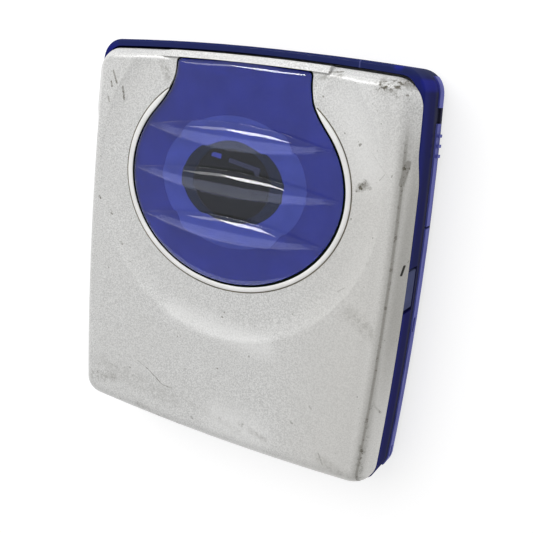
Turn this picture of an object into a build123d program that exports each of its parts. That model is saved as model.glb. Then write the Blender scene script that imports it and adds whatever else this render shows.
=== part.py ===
"""Portable minidisc player, lying on its back: +Z out of the silver front, +Y towards the edge that opens.

Millimetres. The origin is the middle of the flat back. The lid carries the silver front cover, the
window and the disc holder, and turns on two pins along the -Y edge.
"""

import os

from build123d import *

# Case outline, seen from the front
HALF_WIDTH = 39.5  # at mid length, where the sides bulge most
HALF_LENGTH = 44.4  # at mid width
CORNER_X_TOP = 37.8  # where the sides would meet the opening edge
CORNER_X_HINGE = 38.5  # where the sides would meet the hinge edge
END_SAG = 1.3  # how far the two ends bow outward
CORNER_RADIUS = 5.0

# Case shells
CASE_FLOOR = 1.2
CASE_WALL = 1.4
PARTING_Z = 5.8  # joint of lower case and body band
BAND_TOP = 12.3
FRONT_WALL_TOP = 14.5  # the band rises round the opening edge
RISE_START_Y = 20.5
RISE_END_Y = 28.5
HINGE_WALL_TOP = 10.6  # the band is low where the lid turns
BACK_EDGE_RADIUS = 2.2
BAND_EDGE_RADIUS = 0.6
LEDGE_WIDTH = 1.4
SEAM = 0.3  # gap between lid and case
SLIDE_GAP = 0.25  # round pieces that slide in the case wall

# Silver cover
COVER_EDGE_Y = 42.4  # its opening edge, behind the case's front wall
COVER_TOP = 17.9
COVER_WALL = 0.8
SKIRT_LEAN = 2.4  # how far the skirt leans in over its height
SKIRT_EDGE_Z = BAND_TOP + SEAM
COVER_CREASE_RADIUS = 1.2
HINGE_SKIRT_Z = 13.2  # the skirt is short where it swings down
DISH_RADIUS = 34.6
DISH_FLOOR_RADIUS = 30.0
DISH_DEPTH = 0.5
LIP_HALF_WIDTH = 18.8
LIP_REACH = 1.5
LIP_BOTTOM = 15.2

# Window: an oval with a neck that runs up to the opening edge
WINDOW_Y = 16.3
WINDOW_RX = 26.0
WINDOW_RY = 22.1
NECK_HALF = 15.9
NECK_TOP = 40.8
NECK_FLARE_RADIUS = 4.0
WINDOW_GAP = 0.3
BEZEL_WIDTH = 1.3
BEZEL_RISE = 0.35
FLANGE_WIDTH = 1.1
GLASS_BOTTOM = 15.9
FLANGE_THICK = 0.6
GLASS_TOP = 18.8
DOME_RADIUS = 280.0  # the glass swells gently towards its middle
RIB_PITCH = 9.8
RIB_HALF_LENGTHS = (25.0, 29.0, 25.0)  # at the ribs' foot, in the glass
RIB_HALF_WIDTH = 3.0
RIB_FOOT = 17.4
RIB_RISE = 1.2  # how far the ribs stand out of the glass
RIB_DRAFT = 35.0  # slope of the ribs' sides
PRINT_THICK = 0.25
PRINT_OUTER_RX = 17.5
PRINT_MIDDLE_RX = 12.3
PRINT_INNER_RX = 9.3
OVAL_RATIO = WINDOW_RY / WINDOW_RX

# Cartridge, its holder and the deck
CARTRIDGE_WIDTH = 68.0
CARTRIDGE_DEPTH = 72.0
CARTRIDGE_THICK = 5.0
CARTRIDGE_PLAY = 0.2
HOLDER_SHEET = 0.4
HOLDER_BOTTOM = 9.7
HOLDER_MOUTH_Y = 39.6
MOUTH_CORNER = 4.5  # the holder is cut off at a slant inside the cover's rounded corners
HOLDER_WINDOW = (30.0, 34.0)
DECK_Z = 8.9
DECK_SHEET = 0.5

# Lid hinge
HINGE_Y = -40.4
HINGE_Z = 13.2
PIN_RADIUS = 0.8
PIN_PLAY = 0.05
PIN_START = 24.0
PIN_END = 33.0
KNUCKLE_RADIUS = 1.8
KNUCKLE_HALF = 28.4
EAR_X = 30.0
EAR_THICK = 2.0
EAR_RADIUS = 1.6
COIL_WIRE = 0.3
COIL_TURNS = 3
COIL_PITCH = 0.4

# Mechanism
DISC_Y = HOLDER_MOUTH_Y - CARTRIDGE_DEPTH / 2
CHASSIS_Z = 5.2
CHASSIS_SHEET = 0.8
CHASSIS_LEFT = -14.0
CHASSIS_RIGHT = 34.4
CHASSIS_FRONT = 18.4
CHASSIS_BACK = -5.0
DAMPER_RADIUS = 2.1
MOTOR_RADIUS = 8.6
MOTOR_BOTTOM = 2.0
SHAFT_RADIUS = 0.75
SHAFT_PLAY = 0.05
TURNTABLE_RADIUS = 5.4
TURNTABLE_BOTTOM = 9.1
TURNTABLE_THICK = 0.7
HUB_RADIUS = 2.3
CONE_HEIGHT = 0.6
ROD_RADIUS = 0.8
ROD_Z = 7.5
ROD_SPREAD = 14.0
ROD_START = 9.0
ROD_END = 34.0
BLOCK_LENGTH = 1.2
SLED_LENGTH = 8.0
SLED_REST_X = 15.0
SLED_TRAVEL = 13.0
SLED_THICK = 2.0
LENS_RADIUS = 1.9
SCREW_RADIUS = 0.9
SCREW_Y = DISC_Y - ROD_SPREAD / 2 - 5.2
SCREW_Z = 5.6
SCREW_END = 34.6
SLED_MOTOR_RADIUS = 3.0
SLED_MOTOR_LENGTH = 8.0

# Power and boards
CELL_LENGTH = 66.0
CELL_WIDTH = 17.0
CELL_THICK = 6.1
CELL_X = -3.9
CELL_Y = -29.0
CELL_Z = 2.3
CONTACT_THICK = 0.4
DOOR_GAP = 0.2
DOOR_PIN_X = -38.6
DOOR_PIN_Y = -38.4
DOOR_PIN_RADIUS = 0.35
DOOR_KNUCKLE_RADIUS = 0.65
BOARD_Z = 2.3
BOARD_THICK = 0.8
BOARD_RIGHT = -16.6
BOARD_BACK = -17.0
BOARD_FRONT_Y = 22.4
BOARD_END_X = 34.0  # clear of the latch slide
CHIP_THICK = 1.1

# Side details
STRIP_BOTTOM = 3.0
STRIP_TOP = 5.6
STRIP_PROUD = 0.3
STRIP_DEPTH = 0.5  # how deep the strips are let into the case
STRIP_START_Y = -41.5
STRIP_LAST_Y = 42.2
STRIP_SEAT = 0.03  # adhesive behind the strips
STRIP_END_Y = 12.2
UPPER_STRIP_Y = 36.3
SLIDER_START_Y = 12.7
SLIDER_END_Y = 33.2
SLIDER_TRAVEL = 2.6
SLIDER_RIDGES = (26.9, 28.9, 30.9)
ARM_Y = 22.0
ARM_LENGTH = 4.0
LATCH_X = 35.2
LATCH_THICK = 0.8
LATCH_Z = 4.2
LATCH_START_Y = -4.0
LATCH_END_Y = 26.0
SPRING_RADIUS = 0.9
SPRING_PITCH = 1.0
SPRING_START_Y = 28.9
SPRING_POST_Y = 33.0
SPRING_POST_X = 36.1
TAB_Y = 0.2
TAB_LENGTH = 8.2
TAB_BOTTOM = 7.6
TAB_ROOM = 0.6
BUTTON_Z = 7.3
BUTTON_HEIGHT = 2.5
BUTTON_LENGTH = 7.4
BUTTON_PITCH = 9.4
BUTTON_FIRST_Y = -11.0
BUTTON_PROUD = 0.3
BUTTON_NAMES = ("stop_button", "play_button", "volume_down_button", "volume_up_button")
SWITCH_X = -36.4
JACK_Y = 27.5
JACK_Z = 5.5
JACK_BORE_RADIUS = 1.8
JACK_NOSE_RADIUS = 2.5
JACK_DEPTH = 11.0
DC_Y = 34.4
DC_BORE_RADIUS = 1.6
DC_PIN_RADIUS = 0.5

# Screws through the back, clear of cell, jacks and latch
SCREW_PLACES = ((30.0, 40.7), (-26.0, 40.7), (35.0, -40.2), (-35.0, -40.9))
BOSS_RADIUS = 1.9
CASE_SCREW_RADIUS = 0.7
CASE_SCREW_HEAD = 1.3
HEAD_DEPTH = 0.7

WIDE = 120.0  # longer than the player, for cuts that run right through


# --- shapes that several pieces share -------------------------------------------------------------


def case_outline(inset=0.0, top=None):
    """Face of the case seen from the front, inset from its edge; top moves its opening edge."""
    half = HALF_WIDTH - inset
    x_top = CORNER_X_TOP - inset
    x_hinge = CORNER_X_HINGE - inset
    y_top = HALF_LENGTH - inset if top is None else top
    y_hinge = inset - HALF_LENGTH
    corners = [
        (x_top, y_top - END_SAG),
        (x_hinge, y_hinge + END_SAG),
        (-x_hinge, y_hinge + END_SAG),
        (-x_top, y_top - END_SAG),
    ]
    middles = [(half, 0), (0, y_hinge), (-half, 0), (0, y_top)]
    with BuildSketch(mode=Mode.PRIVATE) as outline:
        with BuildLine():
            for i in range(4):
                ThreePointArc(corners[i], middles[i], corners[(i + 1) % 4])
        make_face()
        fillet(outline.vertices(), max(CORNER_RADIUS - inset, 1.0))
    return outline.sketch


def window_outline(grow=0.0, neck_top=NECK_TOP):
    """Face of the oval window and its neck, grown outward by a margin."""
    with BuildSketch(mode=Mode.PRIVATE) as outline:
        with Locations((0, WINDOW_Y)):
            Ellipse(WINDOW_RX + grow, WINDOW_RY + grow)
        with Locations((0, (WINDOW_Y + neck_top + grow) / 2)):
            Rectangle(2 * (NECK_HALF + grow), neck_top + grow - WINDOW_Y)
        throat = outline.vertices().filter_by_position(Axis.Y, WINDOW_Y + 1, neck_top - 1)
        fillet(throat, NECK_FLARE_RADIUS)
    return outline.sketch


def oval(rx):
    """Oval face of the window's own proportions, at the window's middle."""
    with BuildSketch(mode=Mode.PRIVATE) as face:
        with Locations((0, WINDOW_Y)):
            Ellipse(rx, rx * OVAL_RATIO)
    return face.sketch


def rise_line(lift):
    """Curve seen from the side in which the case wall steps up towards the opening edge."""
    start = (RISE_START_Y, BAND_TOP + lift)
    end = (RISE_END_Y, FRONT_WALL_TOP + lift)
    return Spline(start, end, tangents=[(1, 0), (1, 0)])


def wall_piece(inset_out, inset_in, y_range, z_range, side):
    """Solid that follows the case wall between two insets, on the right (side 1) or left (side -1)."""
    y_low, y_high = y_range
    z_low, z_high = z_range
    with BuildPart(mode=Mode.PRIVATE) as piece:
        with BuildSketch(Plane.XY.offset(z_low)):
            add(case_outline(inset_out))
            add(case_outline(inset_in), mode=Mode.SUBTRACT)
            with Locations((side * HALF_WIDTH, (y_low + y_high) / 2)):
                Rectangle(HALF_WIDTH, y_high - y_low, mode=Mode.INTERSECT)
        extrude(amount=z_high - z_low)
    return piece.part


def cover_shell(inset, top_drop):
    """Solid under the cover's skin: outline at the skirt's edge, leaning in up to the flat top."""
    with BuildPart(mode=Mode.PRIVATE) as solid:
        with BuildSketch(Plane.XY.offset(SKIRT_EDGE_Z)):
            add(case_outline(inset, COVER_EDGE_Y - inset))
        with BuildSketch(Plane.XY.offset(COVER_TOP - top_drop)):
            add(case_outline(inset + SKIRT_LEAN, COVER_EDGE_Y - inset - SKIRT_LEAN / 2))
        loft()
    return solid.part


def side_bar(x, y, z, length, radius):
    """Cylinder along X that starts at x."""
    with BuildPart(mode=Mode.PRIVATE) as bar:
        with BuildSketch(Plane.YZ.offset(x)):
            with Locations((y, z)):
                Circle(radius)
        extrude(amount=length)
    return bar.part


def door_pin_solid():
    """The battery door's pin, whose ends sit in the case below and above the door."""
    with BuildPart(mode=Mode.PRIVATE) as pin:
        with Locations((DOOR_PIN_X, DOOR_PIN_Y, (CELL_Z + DOOR_TOP_Z - DOOR_GAP) / 2)):
            Cylinder(DOOR_PIN_RADIUS, DOOR_TOP_Z - CELL_Z + 3 * DOOR_GAP)
    return pin.part


def finish(piece, name):
    """Labels a finished piece and writes its file."""
    piece.part.label = name
    export_step(piece.part, f"parts/{name}.step")


os.makedirs("parts", exist_ok=True)

ROD_YS = (DISC_Y - ROD_SPREAD / 2, DISC_Y + ROD_SPREAD / 2)
BUTTON_YS = [BUTTON_FIRST_Y + i * BUTTON_PITCH for i in range(len(BUTTON_NAMES))]
CELL_LEFT = CELL_X - CELL_LENGTH / 2
CELL_RIGHT = CELL_X + CELL_LENGTH / 2
DOOR_LOW_Y = CELL_Y - CELL_WIDTH / 2 - DOOR_GAP
DOOR_HIGH_Y = CELL_Y + CELL_WIDTH / 2 + DOOR_GAP
DOOR_TOP_Z = CELL_Z + CELL_THICK + DOOR_GAP
HOLDER_HALF = CARTRIDGE_WIDTH / 2 + CARTRIDGE_PLAY / 2 + HOLDER_SHEET
HOLDER_BACK_Y = HOLDER_MOUTH_Y - CARTRIDGE_DEPTH - CARTRIDGE_PLAY - HOLDER_SHEET
HOLDER_TOP = HOLDER_BOTTOM + 2 * HOLDER_SHEET + CARTRIDGE_THICK + CARTRIDGE_PLAY
LENS_SLOT_END = SLED_REST_X + SLED_TRAVEL + 3.2
STRIP_Z = (STRIP_BOTTOM, STRIP_TOP)

# --- case ------------------------------------------------------------------------------------------

with BuildPart() as lower_case:
    with BuildSketch():
        add(case_outline())
    extrude(amount=PARTING_Z)
    fillet(lower_case.faces().sort_by(Axis.Z)[0].edges(), BACK_EDGE_RADIUS)
    with BuildSketch(Plane.XY.offset(CASE_FLOOR)):
        add(case_outline(CASE_WALL))
    extrude(amount=PARTING_Z, mode=Mode.SUBTRACT)
    with BuildSketch(Plane.XY.offset(CASE_FLOOR)):  # screw bosses
        with Locations(*SCREW_PLACES):
            Circle(BOSS_RADIUS)
    extrude(amount=PARTING_Z - CASE_FLOOR)
    with BuildSketch(Plane.XY.offset(CASE_FLOOR)):  # rails under the cell and posts under the board
        with Locations((CELL_X, CELL_Y - 5), (CELL_X, CELL_Y + 5)):
            Rectangle(CELL_LENGTH - 12, 1.2)
        with Locations((-33, -10), (-20, -10), (-33, 18), (26, 30), (0, 34)):
            Circle(1.3)
    extrude(amount=CELL_Z - CASE_FLOOR)
    with Locations(*[(x, y, 0) for x, y in SCREW_PLACES]):
        Cylinder(CASE_SCREW_RADIUS + 0.1, 2 * PARTING_Z + 1, mode=Mode.SUBTRACT)
        Cylinder(CASE_SCREW_HEAD + 0.15, 2 * HEAD_DEPTH, mode=Mode.SUBTRACT)
    with Locations((-HALF_WIDTH, (DOOR_LOW_Y + DOOR_HIGH_Y) / 2, (CELL_Z - DOOR_GAP + 10) / 2)):  # cell mouth
        Box(6, DOOR_HIGH_Y - DOOR_LOW_Y, 10 - CELL_Z + DOOR_GAP, mode=Mode.SUBTRACT)
    with Locations((DOOR_PIN_X, DOOR_PIN_Y, (CELL_Z - DOOR_GAP + 10) / 2)):
        Cylinder(DOOR_KNUCKLE_RADIUS + DOOR_GAP, 10 - CELL_Z + DOOR_GAP, mode=Mode.SUBTRACT)
    add(door_pin_solid(), mode=Mode.SUBTRACT)
    add(side_bar(-HALF_WIDTH - 1, JACK_Y, JACK_Z, 6, JACK_NOSE_RADIUS + SEAM), mode=Mode.SUBTRACT)
    add(side_bar(-HALF_WIDTH - 1, DC_Y, JACK_Z, 6, JACK_NOSE_RADIUS + SEAM), mode=Mode.SUBTRACT)
    add(wall_piece(-1.0, STRIP_DEPTH, (STRIP_START_Y, STRIP_LAST_Y), STRIP_Z, 1), mode=Mode.SUBTRACT)
    with Locations((SPRING_POST_X, SPRING_POST_Y + 0.6, (CASE_FLOOR + PARTING_Z) / 2)):  # spring post
        Box(2.8, 1.2, PARTING_Z - CASE_FLOOR)
    with Locations((HALF_WIDTH, ARM_Y + SLIDER_TRAVEL / 2, LATCH_Z)):  # slot for the slider's arm
        Box(6, ARM_LENGTH + SLIDER_TRAVEL + 2 * SLIDE_GAP, 2.0, mode=Mode.SUBTRACT)
finish(lower_case, "lower_case")

with BuildPart() as body_band:
    with BuildSketch(Plane.XY.offset(PARTING_Z)):
        add(case_outline())
    extrude(amount=FRONT_WALL_TOP - PARTING_Z)
    fillet(body_band.faces().sort_by(Axis.Z)[-1].edges(), BAND_EDGE_RADIUS)
    with BuildSketch(Plane.YZ):  # low along the sides, rising in a curve towards the opening edge
        with BuildLine():
            rise = rise_line(0)
            Polyline(
                rise @ 1,
                (RISE_END_Y, WIDE),
                (-WIDE, WIDE),
                (-WIDE, HINGE_WALL_TOP),
                (HINGE_Y - 3.3, HINGE_WALL_TOP),
                (HINGE_Y - 0.8, BAND_TOP),
                rise @ 0,
            )
        make_face()
    extrude(amount=WIDE, both=True, mode=Mode.SUBTRACT)
    with BuildSketch(Plane.XY.offset(PARTING_Z)):
        add(case_outline(CASE_WALL))
    extrude(amount=WIDE, mode=Mode.SUBTRACT)
    with BuildSketch(Plane.XY.offset(DECK_Z - 1.0)):  # ledge under the deck
        add(case_outline(CASE_WALL))
        add(case_outline(CASE_WALL + LEDGE_WIDTH), mode=Mode.SUBTRACT)
    extrude(amount=1.0)
    with BuildSketch(Plane.XY.offset(PARTING_Z)):
        with Locations(*SCREW_PLACES):
            Circle(BOSS_RADIUS)
    extrude(amount=DECK_Z - PARTING_Z)
    with Locations(*[(x, y, PARTING_Z) for x, y in SCREW_PLACES]):
        Cylinder(CASE_SCREW_RADIUS + 0.1, 2 * 2.4, mode=Mode.SUBTRACT)
    with Locations((HALF_WIDTH, TAB_Y, (TAB_BOTTOM - 0.4 + WIDE) / 2)):  # recess for the lid's side catch
        Box(10, TAB_LENGTH + 2 * TAB_ROOM, WIDE - TAB_BOTTOM + 0.4, mode=Mode.SUBTRACT)
    with Locations(*[(-HALF_WIDTH, y, BUTTON_Z) for y in BUTTON_YS]):
        Box(8, BUTTON_LENGTH + 2 * SLIDE_GAP, BUTTON_HEIGHT + 2 * SLIDE_GAP, mode=Mode.SUBTRACT)
    with Locations((-HALF_WIDTH, (DOOR_LOW_Y + DOOR_HIGH_Y) / 2, DOOR_TOP_Z / 2)):
        Box(8.8, DOOR_HIGH_Y - DOOR_LOW_Y, DOOR_TOP_Z, mode=Mode.SUBTRACT)
    with Locations((DOOR_PIN_X, DOOR_PIN_Y, DOOR_TOP_Z / 2)):
        Cylinder(DOOR_KNUCKLE_RADIUS + DOOR_GAP, DOOR_TOP_Z, mode=Mode.SUBTRACT)
    add(door_pin_solid(), mode=Mode.SUBTRACT)
    add(side_bar(-HALF_WIDTH - 1, JACK_Y, JACK_Z, 6, JACK_NOSE_RADIUS + SEAM), mode=Mode.SUBTRACT)
    add(side_bar(-HALF_WIDTH - 1, DC_Y, JACK_Z, 6, JACK_NOSE_RADIUS + SEAM), mode=Mode.SUBTRACT)
finish(body_band, "body_band")

with BuildPart() as lower_side_strip:
    add(wall_piece(-STRIP_PROUD, STRIP_DEPTH - STRIP_SEAT, (STRIP_START_Y, STRIP_END_Y), STRIP_Z, 1))
    with Locations((HALF_WIDTH, -8.4, STRIP_TOP - 0.9)):  # two small dark openings in the strip
        Box(4, 3.2, 1.0, mode=Mode.SUBTRACT)
    with Locations((HALF_WIDTH, -38.2, STRIP_TOP - 1.2)):
        Box(4, 2.8, 0.9, mode=Mode.SUBTRACT)
finish(lower_side_strip, "lower_side_strip")

with BuildPart() as upper_side_strip:
    add(wall_piece(-STRIP_PROUD, STRIP_DEPTH - STRIP_SEAT, (UPPER_STRIP_Y, STRIP_LAST_Y), STRIP_Z, 1))
finish(upper_side_strip, "upper_side_strip")

with BuildPart() as deck_plate:
    with BuildSketch(Plane.XY.offset(DECK_Z)):
        add(case_outline(CASE_WALL + 0.2))
        with Locations((0, DISC_Y)):
            Circle(TURNTABLE_RADIUS + 1.2, mode=Mode.SUBTRACT)
        with Locations(((LENS_SLOT_END + 6) / 2, DISC_Y)):
            Rectangle(LENS_SLOT_END - 6, 8.0, mode=Mode.SUBTRACT)
        with Locations((-EAR_X, HINGE_Y), (EAR_X, HINGE_Y)):
            Rectangle(EAR_THICK + 2 * SEAM, 5.4, mode=Mode.SUBTRACT)
        with Locations((HALF_WIDTH, TAB_Y)):
            Rectangle(8.4, TAB_LENGTH + 2 * TAB_ROOM, mode=Mode.SUBTRACT)
        with Locations((-HALF_WIDTH, (DOOR_LOW_Y + DOOR_HIGH_Y) / 2)):
            Rectangle(4.4, 12, mode=Mode.SUBTRACT)
    extrude(amount=DECK_SHEET)
finish(deck_plate, "deck_plate")

# --- hinge -----------------------------------------------------------------------------------------

for side, name in ((-1, "left"), (1, "right")):
    with BuildPart() as hinge_ear:
        with BuildSketch(Plane.YZ.offset(side * EAR_X)):
            with Locations((HINGE_Y, HINGE_Z)):
                Circle(EAR_RADIUS)
            with Locations((HINGE_Y + 0.9, (CASE_FLOOR + HINGE_Z) / 2)):  # leg, clear of the ledge behind it
                Rectangle(2.2, HINGE_Z - CASE_FLOOR)
            with Locations((HINGE_Y, HINGE_Z)):
                Circle(PIN_RADIUS, mode=Mode.SUBTRACT)
        extrude(amount=EAR_THICK / 2, both=True)
    finish(hinge_ear, f"hinge_ear_{name}")

    pin_x = PIN_START if side > 0 else -PIN_END
    with BuildPart() as hinge_pin:
        add(side_bar(pin_x, HINGE_Y, HINGE_Z, PIN_END - PIN_START, PIN_RADIUS))
    finish(hinge_pin, f"hinge_pin_{name}")

    with BuildPart() as lid_spring:
        with BuildLine() as coil:
            Helix(
                pitch=COIL_PITCH,
                height=COIL_TURNS * COIL_PITCH,
                radius=PIN_RADIUS + PIN_PLAY + COIL_WIRE / 2,
                center=(side * (EAR_X + EAR_THICK / 2 + COIL_WIRE), HINGE_Y, HINGE_Z),
                direction=(side, 0, 0),
            )
        with BuildSketch(Plane(origin=coil.line @ 0, z_dir=coil.line % 0)):
            Rectangle(COIL_WIRE, COIL_WIRE)
        sweep()
    finish(lid_spring, f"lid_spring_{name}")

# --- lid -------------------------------------------------------------------------------------------

with BuildPart(mode=Mode.PRIVATE) as cover_hollow:
    add(cover_shell(COVER_WALL, COVER_WALL))
    with Locations((0, WINDOW_Y, COVER_TOP - COVER_WALL - DISH_DEPTH / 2)):
        Cone(DISH_FLOOR_RADIUS + COVER_WALL, DISH_RADIUS + COVER_WALL, DISH_DEPTH, mode=Mode.SUBTRACT)
with BuildPart() as front_cover:
    add(cover_shell(0.0, 0.0))
    fillet(front_cover.faces().sort_by(Axis.Z)[-1].edges(), COVER_CREASE_RADIUS)
    with Locations((0, COVER_EDGE_Y + (LIP_REACH - 2) / 2, (LIP_BOTTOM + COVER_TOP - 0.5) / 2)):  # lip
        Box(2 * LIP_HALF_WIDTH, LIP_REACH + 2, COVER_TOP - 0.5 - LIP_BOTTOM)
    fillet(front_cover.edges().group_by(Axis.Y)[-1].filter_by(Axis.X), 0.5)
    with Locations((0, WINDOW_Y, COVER_TOP - DISH_DEPTH / 2)):  # shallow dish round the window
        Cone(DISH_FLOOR_RADIUS, DISH_RADIUS, DISH_DEPTH, mode=Mode.SUBTRACT)
    add(cover_hollow.part, mode=Mode.SUBTRACT)
    with BuildSketch(Plane.XY):
        add(window_outline(WINDOW_GAP))
    extrude(amount=WIDE, mode=Mode.SUBTRACT)
    with BuildSketch(Plane.YZ):  # the skirt is short round the opening edge, in step with the case wall
        with BuildLine():
            rise = rise_line(SEAM)
            Polyline(rise @ 1, (WIDE, FRONT_WALL_TOP + SEAM), (WIDE, 0), (RISE_START_Y, 0), rise @ 0)
        make_face()
    extrude(amount=WIDE, both=True, mode=Mode.SUBTRACT)
    with Locations((0, HINGE_Y - 0.4 - WIDE / 2, 0)):
        Box(WIDE, WIDE, 2 * HINGE_SKIRT_Z, mode=Mode.SUBTRACT)
finish(front_cover, "front_cover")

with BuildPart() as window_bezel:
    with BuildSketch(Plane.XY.offset(COVER_TOP - DISH_DEPTH)):
        add(oval(WINDOW_RX + WINDOW_GAP + BEZEL_WIDTH))
        add(window_outline(WINDOW_GAP, NECK_TOP + 10), mode=Mode.SUBTRACT)
        with Locations((0, WINDOW_Y + WINDOW_RY)):
            Rectangle(2 * NECK_HALF + 4, WINDOW_RY, mode=Mode.SUBTRACT)
    extrude(amount=BEZEL_RISE)
finish(window_bezel, "window_bezel")

with BuildPart(mode=Mode.PRIVATE) as dome:
    with Locations((0, WINDOW_Y, GLASS_TOP - DOME_RADIUS)):
        Sphere(DOME_RADIUS)
with BuildPart(mode=Mode.PRIVATE) as rib_dome:
    with Locations((0, WINDOW_Y, GLASS_TOP + RIB_RISE - DOME_RADIUS)):
        Sphere(DOME_RADIUS)
with BuildPart(mode=Mode.PRIVATE) as glass_prism:
    with BuildSketch(Plane.XY.offset(GLASS_BOTTOM)):
        add(window_outline())
    extrude(amount=6)
with BuildPart(mode=Mode.PRIVATE) as ribs:  # three slim lenses across the glass
    with BuildSketch(Plane.XY.offset(RIB_FOOT)):
        for i, half_length in enumerate(RIB_HALF_LENGTHS):
            rib_y = WINDOW_Y + (1 - i) * RIB_PITCH
            with BuildLine():
                left = (-half_length, rib_y)
                right = (half_length, rib_y)
                ThreePointArc(left, (0, rib_y - RIB_HALF_WIDTH), right)
                ThreePointArc(right, (0, rib_y + RIB_HALF_WIDTH), left)
            make_face()
    extrude(amount=GLASS_TOP + RIB_RISE - RIB_FOOT + 0.5, taper=RIB_DRAFT)
    add(rib_dome.part, mode=Mode.INTERSECT)
with BuildPart() as window_glass:
    add(glass_prism.part)
    add(dome.part, mode=Mode.INTERSECT)
    add(ribs.part & glass_prism.part)
    with BuildSketch(Plane.XY.offset(GLASS_BOTTOM)):
        add(window_outline(FLANGE_WIDTH, NECK_TOP - 0.5 - FLANGE_WIDTH))
    extrude(amount=FLANGE_THICK)
    with BuildSketch(Plane.XY.offset(GLASS_BOTTOM)):
        add(window_outline(-FLANGE_WIDTH))
    extrude(amount=2 * PRINT_THICK, mode=Mode.SUBTRACT)
finish(window_glass, "window_glass")

print_plane = Plane.XY.offset(GLASS_BOTTOM + PRINT_THICK / 2)
with BuildPart() as window_backing:
    with BuildSketch(print_plane):
        add(window_outline(-FLANGE_WIDTH - 0.1))
        add(oval(PRINT_OUTER_RX + 0.05), mode=Mode.SUBTRACT)
    extrude(amount=PRINT_THICK)
finish(window_backing, "window_backing")

with BuildPart() as outer_print_ring:
    with BuildSketch(print_plane):
        add(oval(PRINT_OUTER_RX))
        add(oval(PRINT_MIDDLE_RX + 0.05), mode=Mode.SUBTRACT)
    extrude(amount=PRINT_THICK)
finish(outer_print_ring, "outer_print_ring")

with BuildPart() as inner_print_ring:
    with BuildSketch(print_plane):
        add(oval(PRINT_MIDDLE_RX))
        add(oval(PRINT_INNER_RX), mode=Mode.SUBTRACT)
    extrude(amount=PRINT_THICK)
finish(inner_print_ring, "inner_print_ring")

FRAME_INSET = SKIRT_LEAN + COVER_WALL + 0.1
FRAME_WALL = 0.6
with BuildPart() as lid_frame:
    with BuildSketch(Plane.XY.offset(GLASS_BOTTOM)):
        add(case_outline(FRAME_INSET, COVER_EDGE_Y - 2.0))
        add(window_outline(FLANGE_WIDTH + 0.1, NECK_TOP + 10), mode=Mode.SUBTRACT)
    extrude(amount=FLANGE_THICK)
    with BuildSketch(Plane.XY.offset(SKIRT_EDGE_Z)):  # side walls beside the holder
        add(case_outline(FRAME_INSET - 0.1))
        add(case_outline(FRAME_INSET + FRAME_WALL), mode=Mode.SUBTRACT)
        with Locations((0, -3)):
            Rectangle(WIDE, 54, mode=Mode.INTERSECT)
    extrude(amount=GLASS_BOTTOM - SKIRT_EDGE_Z)
    add(side_bar(-KNUCKLE_HALF, HINGE_Y, HINGE_Z, 2 * KNUCKLE_HALF, KNUCKLE_RADIUS))
    with Locations((0, HINGE_Y + 1.1, (HINGE_Z + GLASS_BOTTOM) / 2)):
        Box(2 * KNUCKLE_HALF, 1.0, GLASS_BOTTOM - HINGE_Z)
    for start in (-KNUCKLE_HALF - 1, PIN_START - 0.5):
        bore = side_bar(start, HINGE_Y, HINGE_Z, KNUCKLE_HALF - PIN_START + 1.5, PIN_RADIUS + PIN_PLAY)
        add(bore, mode=Mode.SUBTRACT)
finish(lid_frame, "lid_frame")

with BuildPart() as side_catch:
    add(wall_piece(0.1, CASE_WALL, (TAB_Y - TAB_LENGTH / 2, TAB_Y + TAB_LENGTH / 2), (TAB_BOTTOM, 12.2), 1))
    fillet(side_catch.edges().filter_by(Axis.Z), 0.3)
    neck_y = (TAB_Y - TAB_LENGTH / 2 + 1, TAB_Y + TAB_LENGTH / 2 - 1)
    add(wall_piece(CASE_WALL, FRAME_INSET + FRAME_WALL, neck_y, (TAB_BOTTOM + 1.4, 12.2), 1))
    add(wall_piece(FRAME_INSET, FRAME_INSET + FRAME_WALL, neck_y, (12.2, SKIRT_EDGE_Z), 1))
finish(side_catch, "side_catch")

with BuildPart() as disc_holder:
    holder_length = HOLDER_MOUTH_Y - HOLDER_BACK_Y
    holder_mid_y = (HOLDER_MOUTH_Y + HOLDER_BACK_Y) / 2
    with Locations((0, holder_mid_y, (HOLDER_BOTTOM + HOLDER_TOP) / 2)):
        Box(2 * HOLDER_HALF, holder_length, HOLDER_TOP - HOLDER_BOTTOM)
    with Locations((0, holder_mid_y + HOLDER_SHEET, (HOLDER_BOTTOM + HOLDER_TOP) / 2)):
        Box(
            2 * (HOLDER_HALF - HOLDER_SHEET),
            holder_length,
            HOLDER_TOP - HOLDER_BOTTOM - 2 * HOLDER_SHEET,
            mode=Mode.SUBTRACT,
        )
    with BuildSketch():
        with Locations((-HOLDER_HALF, HOLDER_MOUTH_Y), (HOLDER_HALF, HOLDER_MOUTH_Y)):
            Rectangle(2 ** 0.5 * MOUTH_CORNER, 2 ** 0.5 * MOUTH_CORNER, rotation=45)
    extrude(amount=WIDE, mode=Mode.SUBTRACT)
    with BuildSketch(Plane.XY.offset(HOLDER_TOP)):  # window in the top sheet
        with Locations((0, WINDOW_Y)):
            RectangleRounded(*HOLDER_WINDOW, 4)
    extrude(amount=-2 * HOLDER_SHEET, mode=Mode.SUBTRACT)
    with BuildSketch(Plane.XY.offset(HOLDER_BOTTOM)):  # hub and pickup opening in the bottom sheet
        with Locations((0, DISC_Y)):
            Circle(TURNTABLE_RADIUS + 1.2)
        with Locations(((LENS_SLOT_END + 4) / 2, DISC_Y)):
            Rectangle(LENS_SLOT_END - 4, 9.0)
        with Locations((-HOLDER_HALF + 8, HOLDER_MOUTH_Y), (HOLDER_HALF - 8, HOLDER_MOUTH_Y)):
            Rectangle(9, 5)  # finger notches at the mouth
    extrude(amount=HOLDER_SHEET, mode=Mode.SUBTRACT)
finish(disc_holder, "disc_holder")

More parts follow.
